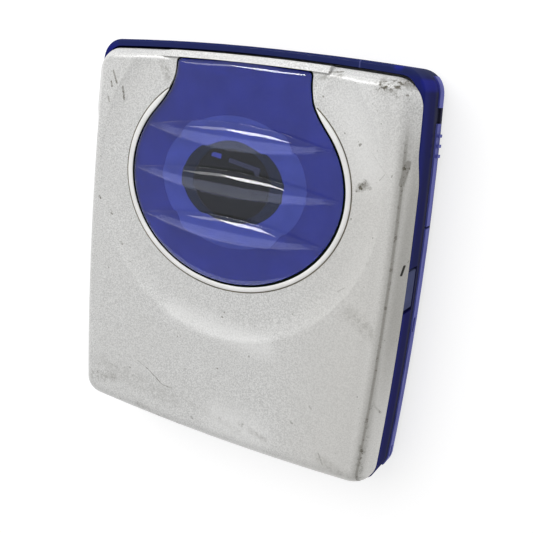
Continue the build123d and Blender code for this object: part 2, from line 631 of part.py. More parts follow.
with BuildPart() as holder_springs:  # bowed leaves that press the cartridge down
    for side in (-1, 1):
        with BuildSketch(Plane.YZ.offset(side * (HOLDER_HALF - 4))):
            with BuildLine():
                ThreePointArc((-22, HOLDER_TOP - 0.55), (-10, HOLDER_TOP - 1.1), (2, HOLDER_TOP - 0.55))
                Line((2, HOLDER_TOP - 0.55), (2, HOLDER_TOP - 0.4))
                ThreePointArc((2, HOLDER_TOP - 0.4), (-10, HOLDER_TOP - 0.95), (-22, HOLDER_TOP - 0.4))
                Line((-22, HOLDER_TOP - 0.4), (-22, HOLDER_TOP - 0.55))
            make_face()
        extrude(amount=1.5, both=True)
finish(holder_springs, "holder_springs")

with BuildPart() as holder_rivets:
    with Locations(*[(x, y, HOLDER_TOP) for x in (-31, 31) for y in (-26, 32)]):
        Cylinder(1.2, GLASS_BOTTOM - HOLDER_TOP, align=(Align.CENTER, Align.CENTER, Align.MIN))
finish(holder_rivets, "holder_rivets")

# --- disc drive ------------------------------------------------------------------------------------

with BuildPart() as mech_chassis:
    with BuildSketch(Plane.XY.offset(CHASSIS_Z)):
        with Locations(((CHASSIS_LEFT + CHASSIS_RIGHT) / 2, (CHASSIS_BACK + CHASSIS_FRONT) / 2)):
            RectangleRounded(CHASSIS_RIGHT - CHASSIS_LEFT, CHASSIS_FRONT - CHASSIS_BACK, 1.5)
        with Locations((0, DISC_Y)):
            Circle(SHAFT_RADIUS + 0.6, mode=Mode.SUBTRACT)
        with Locations(((SLED_REST_X + SLED_TRAVEL / 2), DISC_Y)):
            Rectangle(SLED_LENGTH + SLED_TRAVEL + 1.6, 2 * ROD_SPREAD / 2 - 3, mode=Mode.SUBTRACT)
    extrude(amount=CHASSIS_SHEET)
    for rod_y in ROD_YS:  # blocks that hold the ends of the guide rods
        for start in (ROD_START, ROD_END - BLOCK_LENGTH):
            with Locations((start + BLOCK_LENGTH / 2, rod_y, (CHASSIS_Z + ROD_Z + 1.3) / 2)):
                Box(BLOCK_LENGTH, 3.0, ROD_Z + 1.3 - CHASSIS_Z)
            hole = side_bar(start - 1, rod_y, ROD_Z, BLOCK_LENGTH + 2, ROD_RADIUS)
            add(hole, mode=Mode.SUBTRACT)
finish(mech_chassis, "mech_chassis")

with BuildPart() as dampers:
    for x, y in ((-11.4, -2.4), (-11.4, 15.8), (31.4, 15.8)):
        with BuildSketch(Plane.XZ.offset(-y)):
            with BuildLine():
                Polyline(
                    (x, CASE_FLOOR),
                    (x + DAMPER_RADIUS, CASE_FLOOR),
                    (x + DAMPER_RADIUS * 0.7, (CASE_FLOOR + CHASSIS_Z) / 2),
                    (x + DAMPER_RADIUS, CHASSIS_Z),
                    (x, CHASSIS_Z),
                    close=True,
                )
            make_face()
        revolve(axis=Axis((x, y, 0), (0, 0, 1)))
finish(dampers, "dampers")

with BuildPart() as spindle_motor:
    with BuildSketch(Plane.XY.offset(MOTOR_BOTTOM)):
        with Locations((0, DISC_Y)):
            Circle(MOTOR_RADIUS)
    extrude(amount=CHASSIS_Z - MOTOR_BOTTOM)
    fillet(spindle_motor.faces().sort_by(Axis.Z)[0].edges(), 0.6)
    with BuildSketch(Plane.XY.offset(CHASSIS_Z)):
        with Locations((0, DISC_Y)):
            Circle(SHAFT_RADIUS + SHAFT_PLAY)
    extrude(amount=-2.8, mode=Mode.SUBTRACT)
finish(spindle_motor, "spindle_motor")

with BuildPart() as spindle_shaft:
    with Locations((0, DISC_Y, CHASSIS_Z - 2.6)):
        Cylinder(
            SHAFT_RADIUS,
            TURNTABLE_BOTTOM + TURNTABLE_THICK - CHASSIS_Z + 2.6,
            align=(Align.CENTER, Align.CENTER, Align.MIN),
        )
finish(spindle_shaft, "spindle_shaft")

with BuildPart() as turntable:
    with BuildSketch(Plane.XZ.offset(-DISC_Y)):
        with BuildLine():
            Polyline(
                (SHAFT_RADIUS, CHASSIS_Z + CHASSIS_SHEET + 0.3),
                (HUB_RADIUS, CHASSIS_Z + CHASSIS_SHEET + 0.3),
                (HUB_RADIUS, TURNTABLE_BOTTOM),
                (TURNTABLE_RADIUS, TURNTABLE_BOTTOM),
                (TURNTABLE_RADIUS, TURNTABLE_BOTTOM + TURNTABLE_THICK),
                (HUB_RADIUS, TURNTABLE_BOTTOM + TURNTABLE_THICK),
                (1.6, TURNTABLE_BOTTOM + TURNTABLE_THICK + CONE_HEIGHT),
                (SHAFT_RADIUS, TURNTABLE_BOTTOM + TURNTABLE_THICK + CONE_HEIGHT),
                close=True,
            )
        make_face()
    revolve(axis=Axis((0, DISC_Y, 0), (0, 0, 1)))
finish(turntable, "turntable")

with BuildPart() as clamp_magnet:
    with BuildSketch(Plane.XY.offset(TURNTABLE_BOTTOM + TURNTABLE_THICK)):
        with Locations((0, DISC_Y)):
            Circle(TURNTABLE_RADIUS - 0.7)
            Circle(HUB_RADIUS + 0.4, mode=Mode.SUBTRACT)
    extrude(amount=0.3)
finish(clamp_magnet, "clamp_magnet")

for rod_y, name in zip(ROD_YS, ("guide_rod_back", "guide_rod_front")):
    with BuildPart() as guide_rod:
        add(side_bar(ROD_START, rod_y, ROD_Z, ROD_END - ROD_START, ROD_RADIUS))
    finish(guide_rod, name)

with BuildPart() as pickup_sled:
    with Locations((SLED_REST_X, DISC_Y, ROD_Z)):
        Box(SLED_LENGTH, ROD_SPREAD + 3.2, 2.5)
    with Locations((SLED_REST_X, DISC_Y, ROD_Z - 1.25)):
        Box(SLED_LENGTH - 1, ROD_SPREAD - 4.4, 4.0, align=(Align.CENTER, Align.CENTER, Align.MAX))
    with Locations((SLED_REST_X, DISC_Y, ROD_Z)):
        Box(SLED_LENGTH, ROD_SPREAD - 5.4, 2.5, mode=Mode.SUBTRACT)
        Box(SLED_LENGTH, ROD_SPREAD - 5.4, 0.8)
    with Locations((SLED_REST_X, (SCREW_Y + ROD_YS[0]) / 2, ROD_Z)):  # arm that reaches over the chassis
        Box(3.0, ROD_YS[0] - SCREW_Y, 1.8)
    with Locations((SLED_REST_X, SCREW_Y, SCREW_Z + 0.6)):  # nut on the lead screw
        Box(3.0, 3.0, 4.0)
    for rod_y in ROD_YS:
        hole = side_bar(SLED_REST_X - SLED_LENGTH, rod_y, ROD_Z, 2 * SLED_LENGTH, ROD_RADIUS + 0.05)
        add(hole, mode=Mode.SUBTRACT)
    nut_hole = side_bar(SLED_REST_X - 3, SCREW_Y, SCREW_Z, 6, SCREW_RADIUS + 0.06)
    add(nut_hole, mode=Mode.SUBTRACT)
finish(pickup_sled, "pickup_sled")

with BuildPart() as lens_turret:
    with Locations((SLED_REST_X, DISC_Y, ROD_Z + 0.4)):
        Box(6.0, 7.0, 0.9, align=(Align.CENTER, Align.CENTER, Align.MIN))
        Cylinder(LENS_RADIUS + 0.5, 1.5, align=(Align.CENTER, Align.CENTER, Align.MIN))
    with Locations((SLED_REST_X, DISC_Y, ROD_Z + 0.4 + 1.5)):
        Cylinder(LENS_RADIUS, 1.2, mode=Mode.SUBTRACT)
finish(lens_turret, "lens_turret")

with BuildPart() as pickup_lens:
    with Locations((SLED_REST_X, DISC_Y, ROD_Z + 1.3)):
        Cylinder(LENS_RADIUS, 0.8, align=(Align.CENTER, Align.CENTER, Align.MIN))
    fillet(pickup_lens.faces().sort_by(Axis.Z)[-1].edges(), 0.6)
finish(pickup_lens, "pickup_lens")

screw_start = SLED_REST_X - SLED_LENGTH / 2 - 2.0
with BuildPart() as lead_screw:
    add(side_bar(screw_start - 1, SCREW_Y, SCREW_Z, SCREW_END - screw_start + 1, SCREW_RADIUS))
finish(lead_screw, "lead_screw")

with BuildPart() as sled_motor:
    motor_x = screw_start - SLED_MOTOR_LENGTH
    add(side_bar(motor_x, SCREW_Y, SCREW_Z, SLED_MOTOR_LENGTH, SLED_MOTOR_RADIUS))
    fillet(sled_motor.edges().group_by(Axis.X)[0], 0.4)
    add(side_bar(screw_start - 1.2, SCREW_Y, SCREW_Z, 2, SCREW_RADIUS + 0.05), mode=Mode.SUBTRACT)
    with Locations((motor_x + SLED_MOTOR_LENGTH / 2, SCREW_Y, (CASE_FLOOR + SCREW_Z) / 2)):  # its foot
        Box(4.0, 4.0, SCREW_Z - CASE_FLOOR)
finish(sled_motor, "sled_motor")

with BuildPart() as screw_bearing:
    with Locations((SCREW_END - 0.8, SCREW_Y, (CASE_FLOOR + SCREW_Z + 1.6) / 2)):
        Box(1.4, 4.0, SCREW_Z + 1.6 - CASE_FLOOR)
    add(side_bar(SCREW_END - 3, SCREW_Y, SCREW_Z, 6, SCREW_RADIUS + 0.05), mode=Mode.SUBTRACT)
finish(screw_bearing, "screw_bearing")

# --- power and boards ------------------------------------------------------------------------------

with BuildPart() as battery_cell:
    with Locations((CELL_X, CELL_Y, CELL_Z + CELL_THICK / 2)):
        Box(CELL_LENGTH, CELL_WIDTH, CELL_THICK)
    fillet(battery_cell.edges().filter_by(Axis.X), 1.0)
finish(battery_cell, "battery_cell")

with BuildPart() as cell_contact:  # bent leaf at the far end of the cell
    with BuildSketch(Plane.XZ.offset(-CELL_Y)):
        with BuildLine():
            ThreePointArc(
                (CELL_RIGHT + 1.6, CASE_FLOOR),
                (CELL_RIGHT + 0.1, CELL_Z + CELL_THICK / 2),
                (CELL_RIGHT + 1.6, CELL_Z + CELL_THICK),
            )
            Line((CELL_RIGHT + 1.6, CELL_Z + CELL_THICK), (CELL_RIGHT + 2.0, CELL_Z + CELL_THICK))
            Line((CELL_RIGHT + 2.0, CELL_Z + CELL_THICK), (CELL_RIGHT + 2.0, CASE_FLOOR))
            Line((CELL_RIGHT + 2.0, CASE_FLOOR), (CELL_RIGHT + 1.6, CASE_FLOOR))
        make_face()
    extrude(amount=4.0, both=True)
finish(cell_contact, "cell_contact")

with BuildPart() as battery_door:
    door_y = (DOOR_LOW_Y + DOOR_GAP, DOOR_HIGH_Y - DOOR_GAP)
    door_z = (CELL_Z, DOOR_TOP_Z - DOOR_GAP)
    add(wall_piece(0.0, CASE_WALL, door_y, door_z, -1))
    with Locations((DOOR_PIN_X, DOOR_PIN_Y, (door_z[0] + door_z[1]) / 2)):
        Cylinder(DOOR_KNUCKLE_RADIUS, door_z[1] - door_z[0])
    with Locations((DOOR_PIN_X, (DOOR_PIN_Y + door_y[0]) / 2 + 0.3, (door_z[0] + door_z[1]) / 2)):
        Box(0.9, door_y[0] - DOOR_PIN_Y + 0.6, door_z[1] - door_z[0])
    with Locations((DOOR_PIN_X, DOOR_PIN_Y, (door_z[0] + door_z[1]) / 2)):
        Cylinder(DOOR_PIN_RADIUS + 0.05, WIDE, mode=Mode.SUBTRACT)
finish(battery_door, "battery_door")

with BuildPart() as door_pin:
    add(door_pin_solid())
finish(door_pin, "door_pin")

with BuildPart() as door_contact:
    with Locations((CELL_LEFT - 0.35, CELL_Y, CELL_Z + CELL_THICK / 2)):
        Box(CONTACT_THICK, 8.0, 4.0)
finish(door_contact, "door_contact")

with BuildPart() as main_board:
    with BuildSketch(Plane.XY.offset(BOARD_Z)):
        add(case_outline(CASE_WALL + 0.8))
        with BuildSketch(mode=Mode.PRIVATE) as region:
            with Locations(((BOARD_RIGHT - WIDE / 2), WIDE / 2 + BOARD_BACK)):
                Rectangle(WIDE, WIDE)
            with Locations((BOARD_END_X - WIDE / 2, WIDE / 2 + BOARD_FRONT_Y)):
                Rectangle(WIDE, WIDE)
        add(region.sketch, mode=Mode.INTERSECT)
        with Locations(*SCREW_PLACES[:2]):
            Circle(BOSS_RADIUS + 0.4, mode=Mode.SUBTRACT)
    extrude(amount=BOARD_THICK)
finish(main_board, "main_board")

chip_z = BOARD_Z + BOARD_THICK
chips = {
    "signal_chip": ((-25.0, 6.0), (11.0, 11.0)),
    "servo_chip": ((-25.5, -9.0), (9.0, 7.0)),
    "memory_chip": ((-4.0, 29.5), (12.0, 6.5)),
    "power_chip": ((16.0, 30.5), (8.0, 8.0)),
}
for name, (place, size) in chips.items():
    with BuildPart() as chip:
        with Locations((*place, chip_z + CHIP_THICK / 2)):
            Box(*size, CHIP_THICK)
        chamfer(chip.faces().sort_by(Axis.Z)[-1].edges(), 0.2)
    finish(chip, name)

with BuildPart() as headphone_jack:
    nose_x = -HALF_WIDTH + 0.9
    with Locations((nose_x + 1.6, JACK_Y, (chip_z + JACK_Z + 2.2) / 2)):
        Box(
            JACK_DEPTH,
            6.2,
            JACK_Z + 2.2 - chip_z,
            align=(Align.MIN, Align.CENTER, Align.CENTER),
        )
    add(side_bar(nose_x, JACK_Y, JACK_Z, 2.0, JACK_NOSE_RADIUS))
    add(side_bar(nose_x - 1, JACK_Y, JACK_Z, JACK_DEPTH + 1, JACK_BORE_RADIUS), mode=Mode.SUBTRACT)
finish(headphone_jack, "headphone_jack")

with BuildPart() as power_jack:
    dc_x = -HALF_WIDTH + 1.5
    with Locations((dc_x + 1.6, DC_Y, (chip_z + JACK_Z + 2.2) / 2)):
        Box(7.0, 6.0, JACK_Z + 2.2 - chip_z, align=(Align.MIN, Align.CENTER, Align.CENTER))
    add(side_bar(dc_x, DC_Y, JACK_Z, 2.0, JACK_NOSE_RADIUS - 0.1))
    add(side_bar(dc_x - 1, DC_Y, JACK_Z, 7.0, DC_BORE_RADIUS), mode=Mode.SUBTRACT)
    add(side_bar(dc_x + 0.8, DC_Y, JACK_Z, 6.5, DC_PIN_RADIUS))
finish(power_jack, "power_jack")

# --- controls --------------------------------------------------------------------------------------

with BuildPart() as open_slider:
    slider_z = (STRIP_BOTTOM + 0.15, STRIP_TOP - 0.15)
    add(wall_piece(-STRIP_PROUD, STRIP_DEPTH - SLIDE_GAP, (SLIDER_START_Y, SLIDER_END_Y), slider_z, 1))
    for ridge_y in SLIDER_RIDGES:
        ridge_span = (ridge_y - 0.3, ridge_y + 0.3)
        add(wall_piece(-STRIP_PROUD - 0.5, -STRIP_PROUD, ridge_span, (STRIP_BOTTOM + 0.5, STRIP_TOP - 0.4), 1))
    arm_left = LATCH_X + LATCH_THICK
    with Locations((arm_left, ARM_Y, LATCH_Z)):
        Box(HALF_WIDTH - 0.6 - arm_left, ARM_LENGTH, 1.4, align=(Align.MIN, Align.CENTER, Align.CENTER))
finish(open_slider, "open_slider")

with BuildPart() as latch_slide:
    with BuildSketch(Plane.YZ.offset(LATCH_X)):
        with Locations(((LATCH_START_Y + LATCH_END_Y) / 2, LATCH_Z)):
            Rectangle(LATCH_END_Y - LATCH_START_Y, 1.8)
        with Locations((-1.6, (LATCH_Z + TAB_BOTTOM - SEAM) / 2)):  # finger under the lid's side catch
            Rectangle(2.4, TAB_BOTTOM - SEAM - LATCH_Z)
    extrude(amount=LATCH_THICK)
finish(latch_slide, "latch_slide")

with BuildPart() as slider_spring:  # seated on the post, ready to push the latch slide back
    with BuildLine() as coil:
        Helix(
            pitch=SPRING_PITCH,
            height=SPRING_POST_Y - SPRING_START_Y - COIL_WIRE / 2,
            radius=SPRING_RADIUS,
            center=(LATCH_X + LATCH_THICK / 2, SPRING_START_Y, LATCH_Z),
            direction=(0, 1, 0),
        )
    with BuildSketch(Plane(origin=coil.line @ 0, z_dir=coil.line % 0)):
        Rectangle(COIL_WIRE, COIL_WIRE)
    sweep()
finish(slider_spring, "slider_spring")

for name, button_y in zip(BUTTON_NAMES, BUTTON_YS):
    button_span = (button_y - BUTTON_LENGTH / 2, button_y + BUTTON_LENGTH / 2)
    button_z = (BUTTON_Z - BUTTON_HEIGHT / 2, BUTTON_Z + BUTTON_HEIGHT / 2)
    with BuildPart() as button:
        add(wall_piece(-BUTTON_PROUD, CASE_WALL + 0.1, button_span, button_z, -1))
        fillet(button.edges().filter_by(Axis.Z).group_by(Axis.X)[0], 0.4)
    finish(button, name)

with BuildPart() as switch_board:
    with Locations((SWITCH_X + 0.35, (BUTTON_YS[0] + BUTTON_YS[-1]) / 2, (chip_z + DECK_Z - 1.2) / 2)):
        Box(0.7, BUTTON_YS[-1] - BUTTON_YS[0] + 7.0, DECK_Z - 1.2 - chip_z)
finish(switch_board, "switch_board")

with BuildPart() as tact_switches:
    with Locations(*[(SWITCH_X - 0.3, y, BUTTON_Z - 0.6) for y in BUTTON_YS]):
        Box(0.6, 3.0, 2.2)
finish(tact_switches, "tact_switches")

with BuildPart() as case_screws:
    for x, y in SCREW_PLACES:
        with Locations((x, y, 0.1)):
            Cylinder(CASE_SCREW_HEAD, HEAD_DEPTH - 0.1, align=(Align.CENTER, Align.CENTER, Align.MIN))
            Cylinder(CASE_SCREW_RADIUS, 7.0, align=(Align.CENTER, Align.CENTER, Align.MIN))
finish(case_screws, "case_screws")
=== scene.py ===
"""Looks of the portable disc player: silver lid with a blue ribbed window, dark blue case.

Metres throughout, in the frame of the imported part: the player lies on its back, +Z out of the
silver front, +Y towards the edge that opens, +X towards the side with the slider. Outlines and
height fields are worked out in millimetres and turned into metres where a mesh is made.
"""

import math

import bpy
import numpy as np
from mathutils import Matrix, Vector


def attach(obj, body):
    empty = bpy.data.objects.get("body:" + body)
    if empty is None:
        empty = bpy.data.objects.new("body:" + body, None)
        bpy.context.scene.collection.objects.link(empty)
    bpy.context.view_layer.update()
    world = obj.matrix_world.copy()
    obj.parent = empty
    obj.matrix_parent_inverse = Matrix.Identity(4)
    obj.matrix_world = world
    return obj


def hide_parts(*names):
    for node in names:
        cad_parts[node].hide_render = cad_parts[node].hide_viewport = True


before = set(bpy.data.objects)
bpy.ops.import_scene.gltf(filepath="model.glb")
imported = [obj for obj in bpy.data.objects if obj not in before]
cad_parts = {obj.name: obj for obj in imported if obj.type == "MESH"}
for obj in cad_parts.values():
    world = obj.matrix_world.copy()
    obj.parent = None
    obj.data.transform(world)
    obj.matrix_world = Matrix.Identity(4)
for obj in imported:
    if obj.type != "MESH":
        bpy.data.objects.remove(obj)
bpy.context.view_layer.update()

MM = 0.001

# --- camera: 36 mm wide frame, fitted to the photograph -----------------------------------------

CAMERA_PLACE = (0.08326, 0.04279, 0.15763)
CAMERA_TURN = (-12.0403, 28.7846, 6.3278)  # degrees about X, Y, Z
CAMERA_LENS = 52.69

# --- silver cover and window, millimetres; the outlines follow the part -------------------------

HALF_WIDTH = 39.5
CORNER_X_TOP = 37.8
CORNER_X_HINGE = 38.5
CORNER_Y = 43.1  # where the sides would meet the ends
END_SAG = 1.3
CORNER_RADIUS = 5.0
CORNER_SMALLEST = 1.2  # the corners' radius doesn't shrink below this further in
COVER_FRONT_Y = 42.4
COVER_HINGE_Y = -44.4
COVER_TOP = 17.9
COVER_WALL = 0.8
CROWN_ACROSS = 0.15
CROWN_ALONG = 0.12
SKIRT_FOOT = 12.6
SKIRT_LEAN = 2.4 / 5.3  # run over rise
SKIRT_CURVE = 1.3  # above 1, the skirt is steeper near its foot
RISE_START_Y = 20.5
RISE_END_Y = 28.5
RISE_HEIGHT = 2.2
HINGE_STEP_Y = -40.8
HINGE_STEP = 0.6
HINGE_STEP_RUN = 0.4
CREASE_START = 1.5  # inset at which the skirt starts to turn over into the face
CREASE_END = 4.6
CREASE_DIP = 0.16  # a faint valley runs along the crease
CREASE_DIP_WIDTH = 2.2
TURN_LIFT = 0.25  # how far the lower skirt runs on before the turn
INNER_INSET = 3.4  # where the cover's inside turns down into its skirt
DISH_X = -0.5
DISH_Y = 16.5
DISH_RADIUS = 34.8
DISH_SLOPE_WIDTH = 5.2
DISH_DEPTH = 0.75
DISH_CURVE = 2.2
SCOOP_X = 17.0  # half width of the scoops by the neck, at SCOOP_Y
SCOOP_Y = 34.0
SCOOP_SPREAD = 0.5  # how fast they widen towards the opening edge
SCOOP_START_Y = 33.0
SCOOP_DEPTH = 0.4
SCOOP_SLOPE = 2.4  # widths of their slopes, across and along
SCOOP_RUN = 2.5
WINDOW_Y = 16.3
WINDOW_RX = 25.8
WINDOW_RY = 21.75
NECK_HALF = 15.9
NECK_TOP = 40.8
NECK_CORNER = 1.0
FLARE_BLEND = 5.0
WINDOW_GAP = 0.3
GLASS_TOP = 18.8
GLASS_UNDERSIDE = 16.4
DOME_RADIUS = 280.0
RIM_RADIUS = 1.5
RIM_DROP = 0.95
GLASS_CHAMFER = 0.4
RIB_PITCH = 9.8
RIB_RISE = 1.18
RIB_HALF_LENGTHS = (21.9, 25.2, 21.9)
RIB_HALF_WIDTH = 2.8
RIB_END_CURVE = 0.6  # below 1, the ribs keep their height further towards their ends
PRINT_TOP = 16.27
PRINT_THICK = 0.25
PRINT_ROUNDING = (0.05, 0.04)  # across and down, at the upper edges
PALE_RING = (17.5, 13.95)  # half sizes of the printed rings
PRINT_SURROUND = (18.6, 16.0)
SLATE_RING = (12.3, 9.1)
PRINT_HOLE = (9.3, 7.9)
BEZEL_WIDTH = 1.15
BEZEL_GROOVE = 0.22
BEZEL_RISE = 0.25
BEZEL_THINNEST = 0.12
BEZEL_FULL = 0.8  # narrower than this, the ring is lower too
BEZEL_ANGLES = (129, 411)  # degrees, between the two sides of the neck
# The black ring round the window: a dark joint, widened into painted shadow
JOINT_NARROWEST = 0.12
SHADOW_SWELL = 0.32
SHADOW_TURN = 0.7  # radians; this painted shadow is widest at the lower right
LINING_WIDTH = 3.2
LINING_GAP = 0.02
LINING_DEPTHS = (0.45, 0.12)  # foot and top, below the pane
LIP_LEFT = -21.5
LIP_RIGHT = 19.6
LIP_BACK_Y = 41.1
LIP_FRONT_Y = 42.5
LIP_TOP = 17.05
LIP_BOTTOM = 15.0
LIP_EDGE = 0.7
LIP_BACK_RISE = 0.25
LIP_FADE = 4.0  # the lip's left end sinks into the cover
LIP_SINK = 0.5
WELL_FLOOR = 15.45  # black sheet of painted shade, for the space seen through the hole in the prints
WELL_THICK = 0.13
CLAMP_TOP = WELL_FLOOR + 0.12
CLAMP_THICK = 0.1

# How finely the meshes are divided
AROUND = 720  # round the window
AROUND_PRINTS = 240
SKIRT_STEPS = 7
TURN_STEPS = 13
FACE_STEPS = 70
LIP_STEPS = 60
BEZEL_STEPS = 460
PANE_STEPS = 130
RIM_STEPS = 9
HALVINGS = 40  # steps of the search for an outline
NORMAL_STEP = 0.02  # for the slopes of a height field
SHARP_ANGLE = math.radians(38)  # edges steeper than this stay sharp


# --- outlines and height fields -----------------------------------------------------------------


def side_x(y):
    """Half width of the case at y: the sides bow and draw in a little towards the opening edge."""
    narrow_top = HALF_WIDTH - CORNER_X_TOP
    narrow_hinge = HALF_WIDTH - CORNER_X_HINGE
    u = y / CORNER_Y
    bow = (narrow_top + narrow_hinge) / 2
    taper = (narrow_top - narrow_hinge) / 2
    return HALF_WIDTH - bow * u * u - taper * u


def cover_gap(x, y, inset):
    """Signed distance from the cover's outline, negative inside; inset draws the outline in."""
    radius = np.maximum(CORNER_RADIUS - inset, CORNER_SMALLEST)
    sag = END_SAG * (x / CORNER_X_TOP) ** 2
    ahead = y - (COVER_FRONT_Y - inset / 2 - sag)
    behind = (COVER_HINGE_Y + inset + sag) - y
    qx = np.abs(x) - (side_x(y) - inset) + radius
    qy = np.maximum(ahead, behind) + radius
    outside = np.hypot(np.maximum(qx, 0), np.maximum(qy, 0))
    return outside + np.minimum(np.maximum(qx, qy), 0) - radius


def oval_gap(x, y, grow=0.0):
    """Signed distance from the window's oval alone."""
    v = y - WINDOW_Y
    rho = np.hypot(x / WINDOW_RX, v / WINDOW_RY) + 1e-9
    slope = np.hypot(x / WINDOW_RX**2, v / WINDOW_RY**2) / rho + 1e-9
    return (rho - 1) / slope - grow


def window_gap(x, y, grow=0.0):
    """Signed distance from the window's outline: an oval and a neck, joined by a flare."""
    from_oval = oval_gap(x, y)
    qx = np.abs(x) - NECK_HALF + NECK_CORNER
    qy = np.maximum(y - NECK_TOP, WINDOW_Y - y) + NECK_CORNER
    outside = np.hypot(np.maximum(qx, 0), np.maximum(qy, 0))
    from_neck = outside + np.minimum(np.maximum(qx, qy), 0) - NECK_CORNER
    blend = np.clip(0.5 + (from_neck - from_oval) / (2 * FLARE_BLEND), 0, 1)
    joined = from_neck * (1 - blend) + from_oval * blend - FLARE_BLEND * blend * (1 - blend)
    return joined - grow


def reach(gap, angles, limit=80.0):
    """How far the outline where gap is zero lies from the window's middle, along each angle."""
    low = np.zeros_like(angles)
    high = np.full_like(angles, limit)
    for _ in range(HALVINGS):
        middle = (low + high) / 2
        inside = gap(middle * np.cos(angles), WINDOW_Y + middle * np.sin(angles)) < 0
        low = np.where(inside, middle, low)
        high = np.where(inside, high, middle)
    return (low + high) / 2


def ease(t):
    """Smooth step from 0 to 1."""
    t = np.clip(t, 0, 1)
    return t * t * (3 - 2 * t)


def bell(t):
    """Smooth hump, 1 at 0 and 0 beyond 1 either way."""
    return ease(1 - np.abs(t))


def cover_height(x, y):
    """Height of the silver face: a faint crown, the dish round the window, scoops by the neck."""
    crown = CROWN_ACROSS * (x / HALF_WIDTH) ** 2 + CROWN_ALONG * (y / CORNER_Y) ** 2
    s = np.clip((DISH_RADIUS - np.hypot(x - DISH_X, y - DISH_Y)) / DISH_SLOPE_WIDTH, 0, 1)
    dish = DISH_DEPTH * (1 - (1 - s) ** DISH_CURVE) * ease(s / 0.12)
    edge_x = SCOOP_X + SCOOP_SPREAD * (y - SCOOP_Y)
    across = np.clip((edge_x - np.abs(x)) / SCOOP_SLOPE, 0, 1)
    scoop = across * ease((y - SCOOP_START_Y) / SCOOP_RUN)
    valley = CREASE_DIP * bell((side_x(y) - np.abs(x) - CREASE_END) / CREASE_DIP_WIDTH)
    return COVER_TOP - crown * (1 - dish / DISH_DEPTH) - dish - SCOOP_DEPTH * ease(scoop) - valley


def skirt_foot(y):
    """Height of the skirt's lower edge, in step with the case wall under it."""
    rise = RISE_HEIGHT * ease((y - RISE_START_Y) / (RISE_END_Y - RISE_START_Y))
    return SKIRT_FOOT + rise + HINGE_STEP * ease((HINGE_STEP_Y - y) / HINGE_STEP_RUN)


def glass_height(x, y):
    """Height of the window: a shallow dome with three lens-shaped ribs standing out of it."""
    v = y - WINDOW_Y
    top = GLASS_TOP - (x * x + v * v) / (2 * DOME_RADIUS)
    for i, half_length in enumerate(RIB_HALF_LENGTHS):
        narrowing = np.maximum(1 - (x / half_length) ** 2, 1e-6)
        share = (v - (1 - i) * RIB_PITCH) / (RIB_HALF_WIDTH * narrowing)
        top = top + RIB_RISE * narrowing**RIB_END_CURVE * np.maximum(1 - share**2, 0)
    return top


def field_normal(height, x, y):
    """Upward unit normals of a height field."""
    step = NORMAL_STEP
    dx = (height(x + step, y) - height(x - step, y)) / (2 * step)
    dy = (height(x, y + step) - height(x, y - step)) / (2 * step)
    found = np.stack([-dx, -dy, np.ones_like(dx)], axis=-1)
    return found / np.linalg.norm(found, axis=-1, keepdims=True)


# --- mesh helpers -------------------------------------------------------------------------------


def make_object(name, points, faces, material, body, smooth=True):
    """Mesh object from points in millimetres, riding on a body."""
    mesh = bpy.data.meshes.new(name)
    mesh.from_pydata([tuple(p) for p in np.asarray(points) * MM], [], faces)
    mesh.validate()
    mesh.polygons.foreach_set("use_smooth", [smooth] * len(mesh.polygons))
    if smooth:
        mesh.set_sharp_from_angle(angle=SHARP_ANGLE)
    piece = bpy.data.objects.new(name, mesh)
    bpy.context.collection.objects.link(piece)
    mesh.materials.append(material)
    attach(piece, body)
    return piece


def ring_piece(name, rings, material, body, wrap=False, cap=False):
    """Skin over a run of closed rings; wrap joins the last to the first, cap closes both ends."""
    count = len(rings[0])
    points = np.concatenate(rings)
    faces = []
    spans = list(range(len(rings) - 1))
    if wrap:
        spans.append(len(rings) - 1)
    for r in spans:
        a = r * count
        b = ((r + 1) % len(rings)) * count
        for i in range(count):
            j = (i + 1) % count
            faces.append((a + i, a + j, b + j, b + i))
    if cap:
        last = (len(rings) - 1) * count
        start_middle = len(points)
        points = np.vstack([points, rings[0].mean(axis=0), rings[-1].mean(axis=0)])
        for i in range(count):
            j = (i + 1) % count
            faces.append((start_middle, j, i))
            faces.append((start_middle + 1, last + i, last + j))
    return make_object(name, points, faces, material, body)


def ring(distance, angles, z):
    """Closed ring at a distance from the window's middle along each angle."""
    x = distance * np.cos(angles)
    y = WINDOW_Y + distance * np.sin(angles)
    return np.stack([x, y, np.broadcast_to(z, x.shape)], axis=1)


def ring_on(distance, angles, height):
    """Closed ring whose height follows a field."""
    x = distance * np.cos(angles)
    y = WINDOW_Y + distance * np.sin(angles)
    return np.stack([x, y, height(x, y)], axis=1)


def bar_piece(name, sections, material, body):
    """Closed bar: equal closed sections joined in a row, with flat ends."""
    count = len(sections[0])
    faces = []
    for s in range(len(sections) - 1):
        for i in range(count):
            j = (i + 1) % count
            near, far = s * count, (s + 1) * count
            faces.append((near + i, near + j, far + j, far + i))
    last = (len(sections) - 1) * count
    faces.append(tuple(range(count - 1, -1, -1)))
    faces.append(tuple(range(last, last + count)))
    return make_object(name, np.concatenate(sections), faces, material, body)


# --- materials ----------------------------------------------------------------------------------


